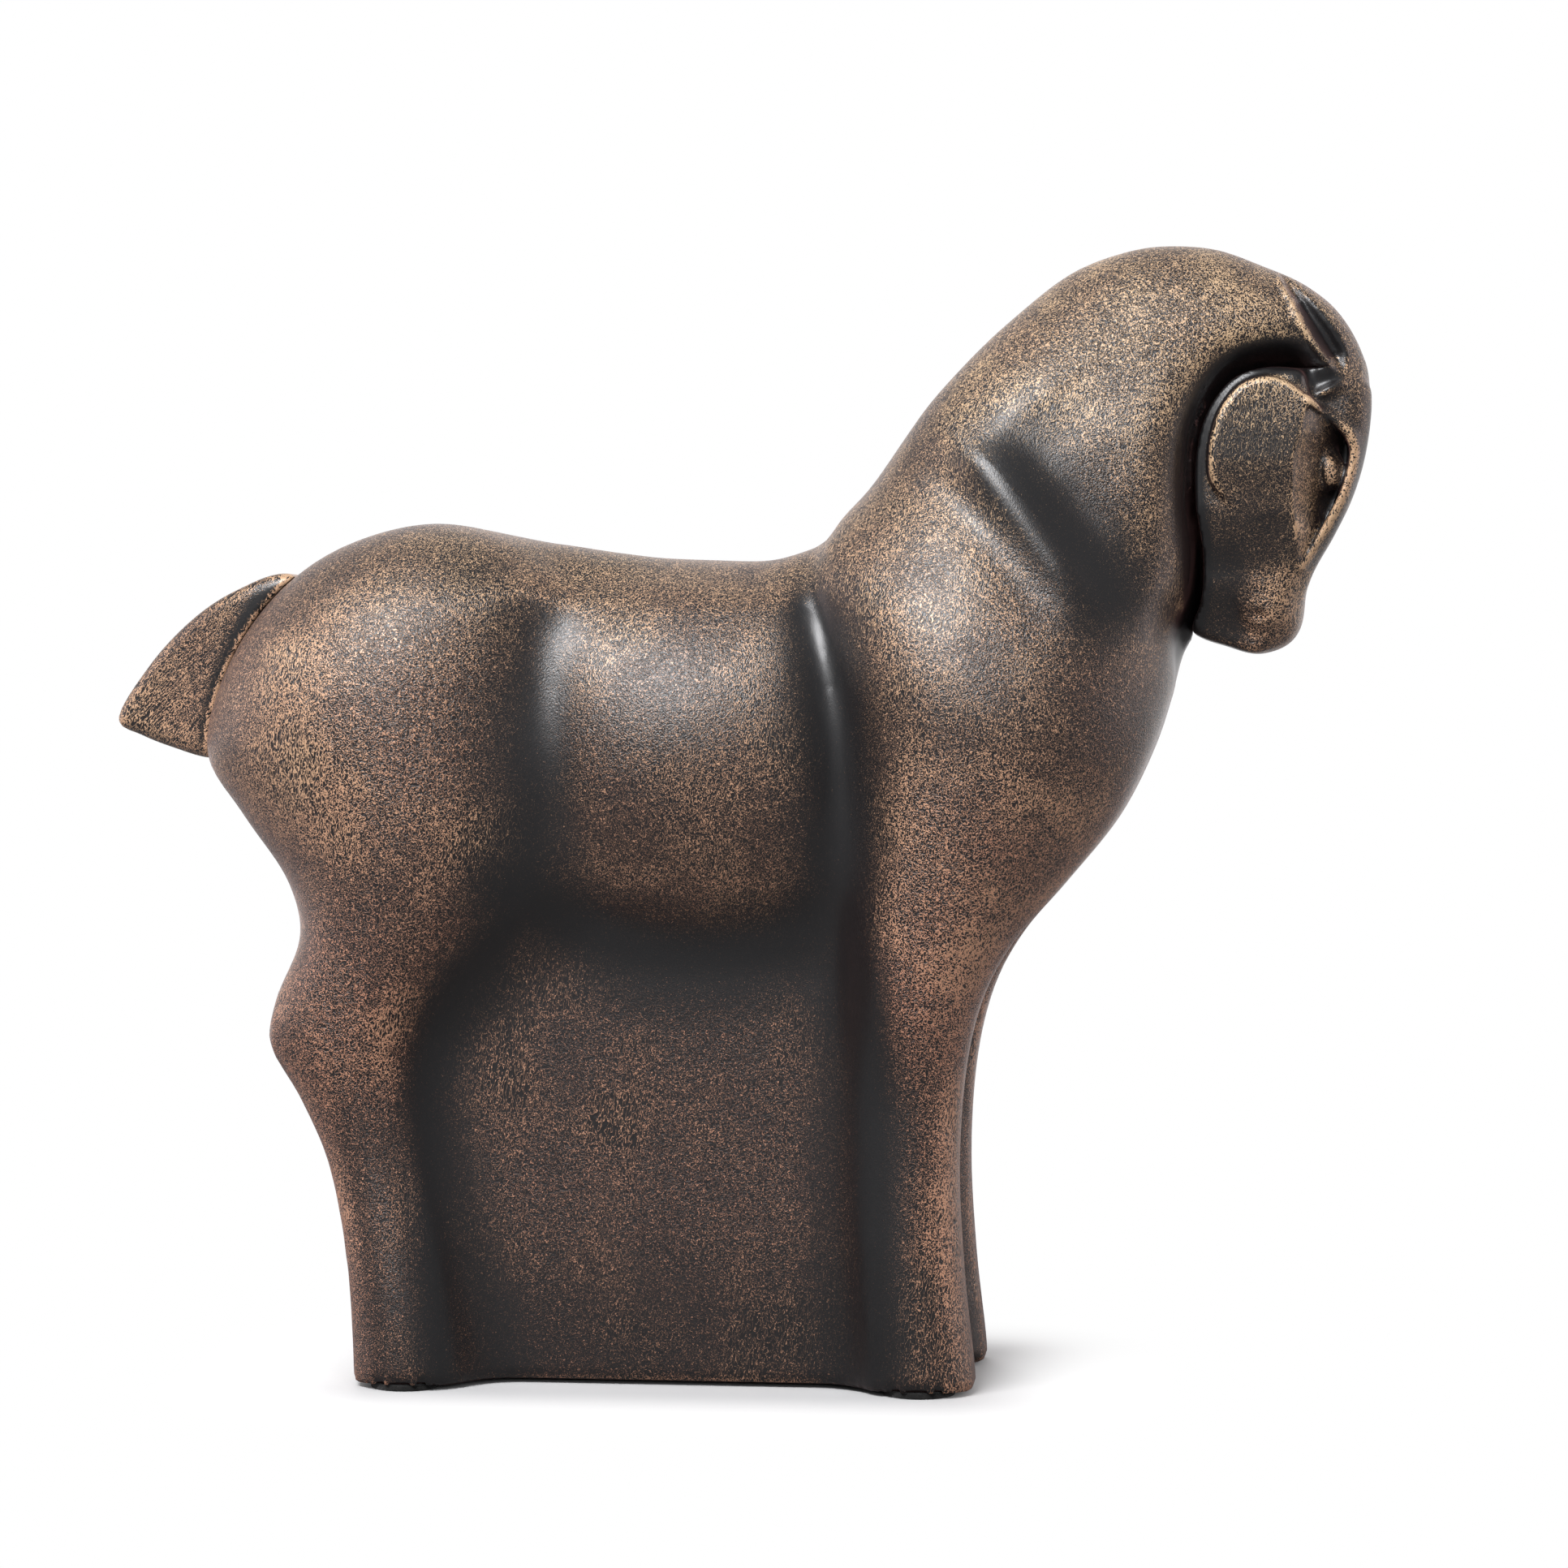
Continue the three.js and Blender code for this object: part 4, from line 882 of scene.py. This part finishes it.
def whitePaper():
    material, tree, place = startMaterial("whitePaper")
    seen = sweepSeen(tree, place)
    # distance out from the feet
    for operation, other in (("SUBTRACT", stage["middle"]), ("ABSOLUTE", (0, 0)), ("SUBTRACT", stage["feet"]),
                             ("MAXIMUM", (0, 0))):
        place = addNode(tree, "ShaderNodeVectorMath", {0: place, 1: (*other, 0)}, operation=operation).outputs[0]
    distance = addNode(tree, "ShaderNodeVectorMath", {0: place}, operation="LENGTH").outputs["Value"]
    # painted shade: the floor's glow is zero at the feet and rises over the first distance, so the floor round them
    # stays darker than the lamps alone leave it; beyond the second distance it turns plain white
    lift, away = (
        addNode(tree, "ShaderNodeMapRange", {"Value": distance, "From Max": far, "To Max": most},
                interpolation_type="SMOOTHSTEP").outputs["Result"]
        for far, most in ((stage["shadow"], stage["lift"]), (stage["white"], 1.0)))
    paper = addNode(tree, "ShaderNodeBsdfDiffuse", {"Color": colour(stage["paper"])}).outputs["BSDF"]
    glow = addNode(tree, "ShaderNodeEmission", {"Color": (1, 1, 1, 1), "Strength": lift}).outputs["Emission"]
    lifted = addNode(tree, "ShaderNodeAddShader", {0: paper, 1: glow}).outputs["Shader"]
    white = addNode(tree, "ShaderNodeEmission", {"Color": (1, 1, 1, 1), "Strength": 1.0}).outputs["Emission"]
    shown = addNode(tree, "ShaderNodeMixShader", {0: away, 1: lifted, 2: white}).outputs["Shader"]
    dull = addNode(tree, "ShaderNodeBsdfDiffuse", {"Color": colour(stage["shade"])}).outputs["BSDF"]
    surface = addNode(tree, "ShaderNodeMixShader", {0: seen, 1: dull, 2: shown}).outputs["Shader"]
    addNode(tree, "ShaderNodeOutputMaterial", {"Surface": surface})
    return material


floorMesh = bpy.data.meshes.new("floor")
half = stage["size"] / 2
floorMesh.from_pydata([(-half, -half, 0), (half, -half, 0), (half, half, 0), (-half, half, 0)], [], [(0, 1, 2, 3)])
floorMesh.materials.append(whitePaper())
floor = bpy.data.objects.new("floor", floorMesh)
scene.collection.objects.link(floor)

room = {"ambient": "#e9ebee", "strength": 0.3}
world = bpy.data.worlds.new("studio")
world.use_nodes = True
scene.world = world
tree = world.node_tree
tree.nodes.clear()
seen = sweepSeen(tree, addNode(tree, "ShaderNodeTexCoord").outputs["Generated"])
ambient = addNode(tree, "ShaderNodeBackground", {"Color": colour(room["ambient"]), "Strength": room["strength"]})
white = addNode(tree, "ShaderNodeBackground", {"Color": (1, 1, 1, 1), "Strength": 1.0})
mixed = addNode(tree, "ShaderNodeMixShader", {0: seen, 1: ambient.outputs[0], 2: white.outputs[0]})
addNode(tree, "ShaderNodeOutputWorld", {"Surface": mixed.outputs[0]})

softboxes = {  # place, aim, size in metres, watts, tint, seen in the gloss
    "overhead": ((-0.4, -0.95, 1.1), (0, 0, 0.2), (0.8, 0.5), 19.5, "#fdfdff", True),
    "rightFill": ((0.6, -1.4, 0.55), (0.05, 0, 0.17), (0.35, 0.6), 3.5, "#fdfdff", False),
    "rightRim": ((1.2, 0.25, 0.4), (0, 0, 0.17), (0.6, 0.8), 2.0, "#ffeae6", True),
    "farFill": ((-0.3, 1.3, 0.8), (0, 0, 0.17), (0.8, 0.5), 8.0, "#fdfdff", False),
    "leftRim": ((-1.3, 0.2, 0.4), (0, 0, 0.17), (0.6, 0.8), 2.0, "#ffe8e8", True),
}
for name, (at, aim, size, watts, tint, mirrored) in softboxes.items():
    lamp = bpy.data.lights.new(name, "AREA")
    lamp.shape = "RECTANGLE"
    lamp.size, lamp.size_y = size
    lamp.energy = watts
    lamp.color = colour(tint)[:3]
    holder = bpy.data.objects.new(name, lamp)
    holder.location = at
    holder.visible_glossy = mirrored
    holder.rotation_euler = (Vector(aim) - Vector(at)).to_track_quat("-Z", "Y").to_euler()
    scene.collection.objects.link(holder)

# A long lens at the horse's own height, a little ahead of square on
view = {"turn": 7.0, "rise": 1.5, "distance": 1.2, "aim": (0, 0, 0.16), "clip": (0.01, 50),
        "lens": 96.18, "sensor": 36, "shift": (0.0320, 0.0194)}
turn, rise = math.radians(view["turn"]), math.radians(view["rise"])
away = Vector((math.sin(turn) * math.cos(rise), -math.cos(turn) * math.cos(rise), math.sin(rise)))
camera = bpy.data.objects.new("camera", bpy.data.cameras.new("camera"))
camera.data.lens = view["lens"]
camera.data.sensor_width = view["sensor"]
camera.data.shift_x, camera.data.shift_y = view["shift"]
camera.data.clip_start, camera.data.clip_end = view["clip"]
camera.location = Vector(view["aim"]) + away * view["distance"]
camera.rotation_euler = away.to_track_quat("Z", "Y").to_euler()
scene.collection.objects.link(camera)
scene.camera = camera
print("stage, lamps and camera set")
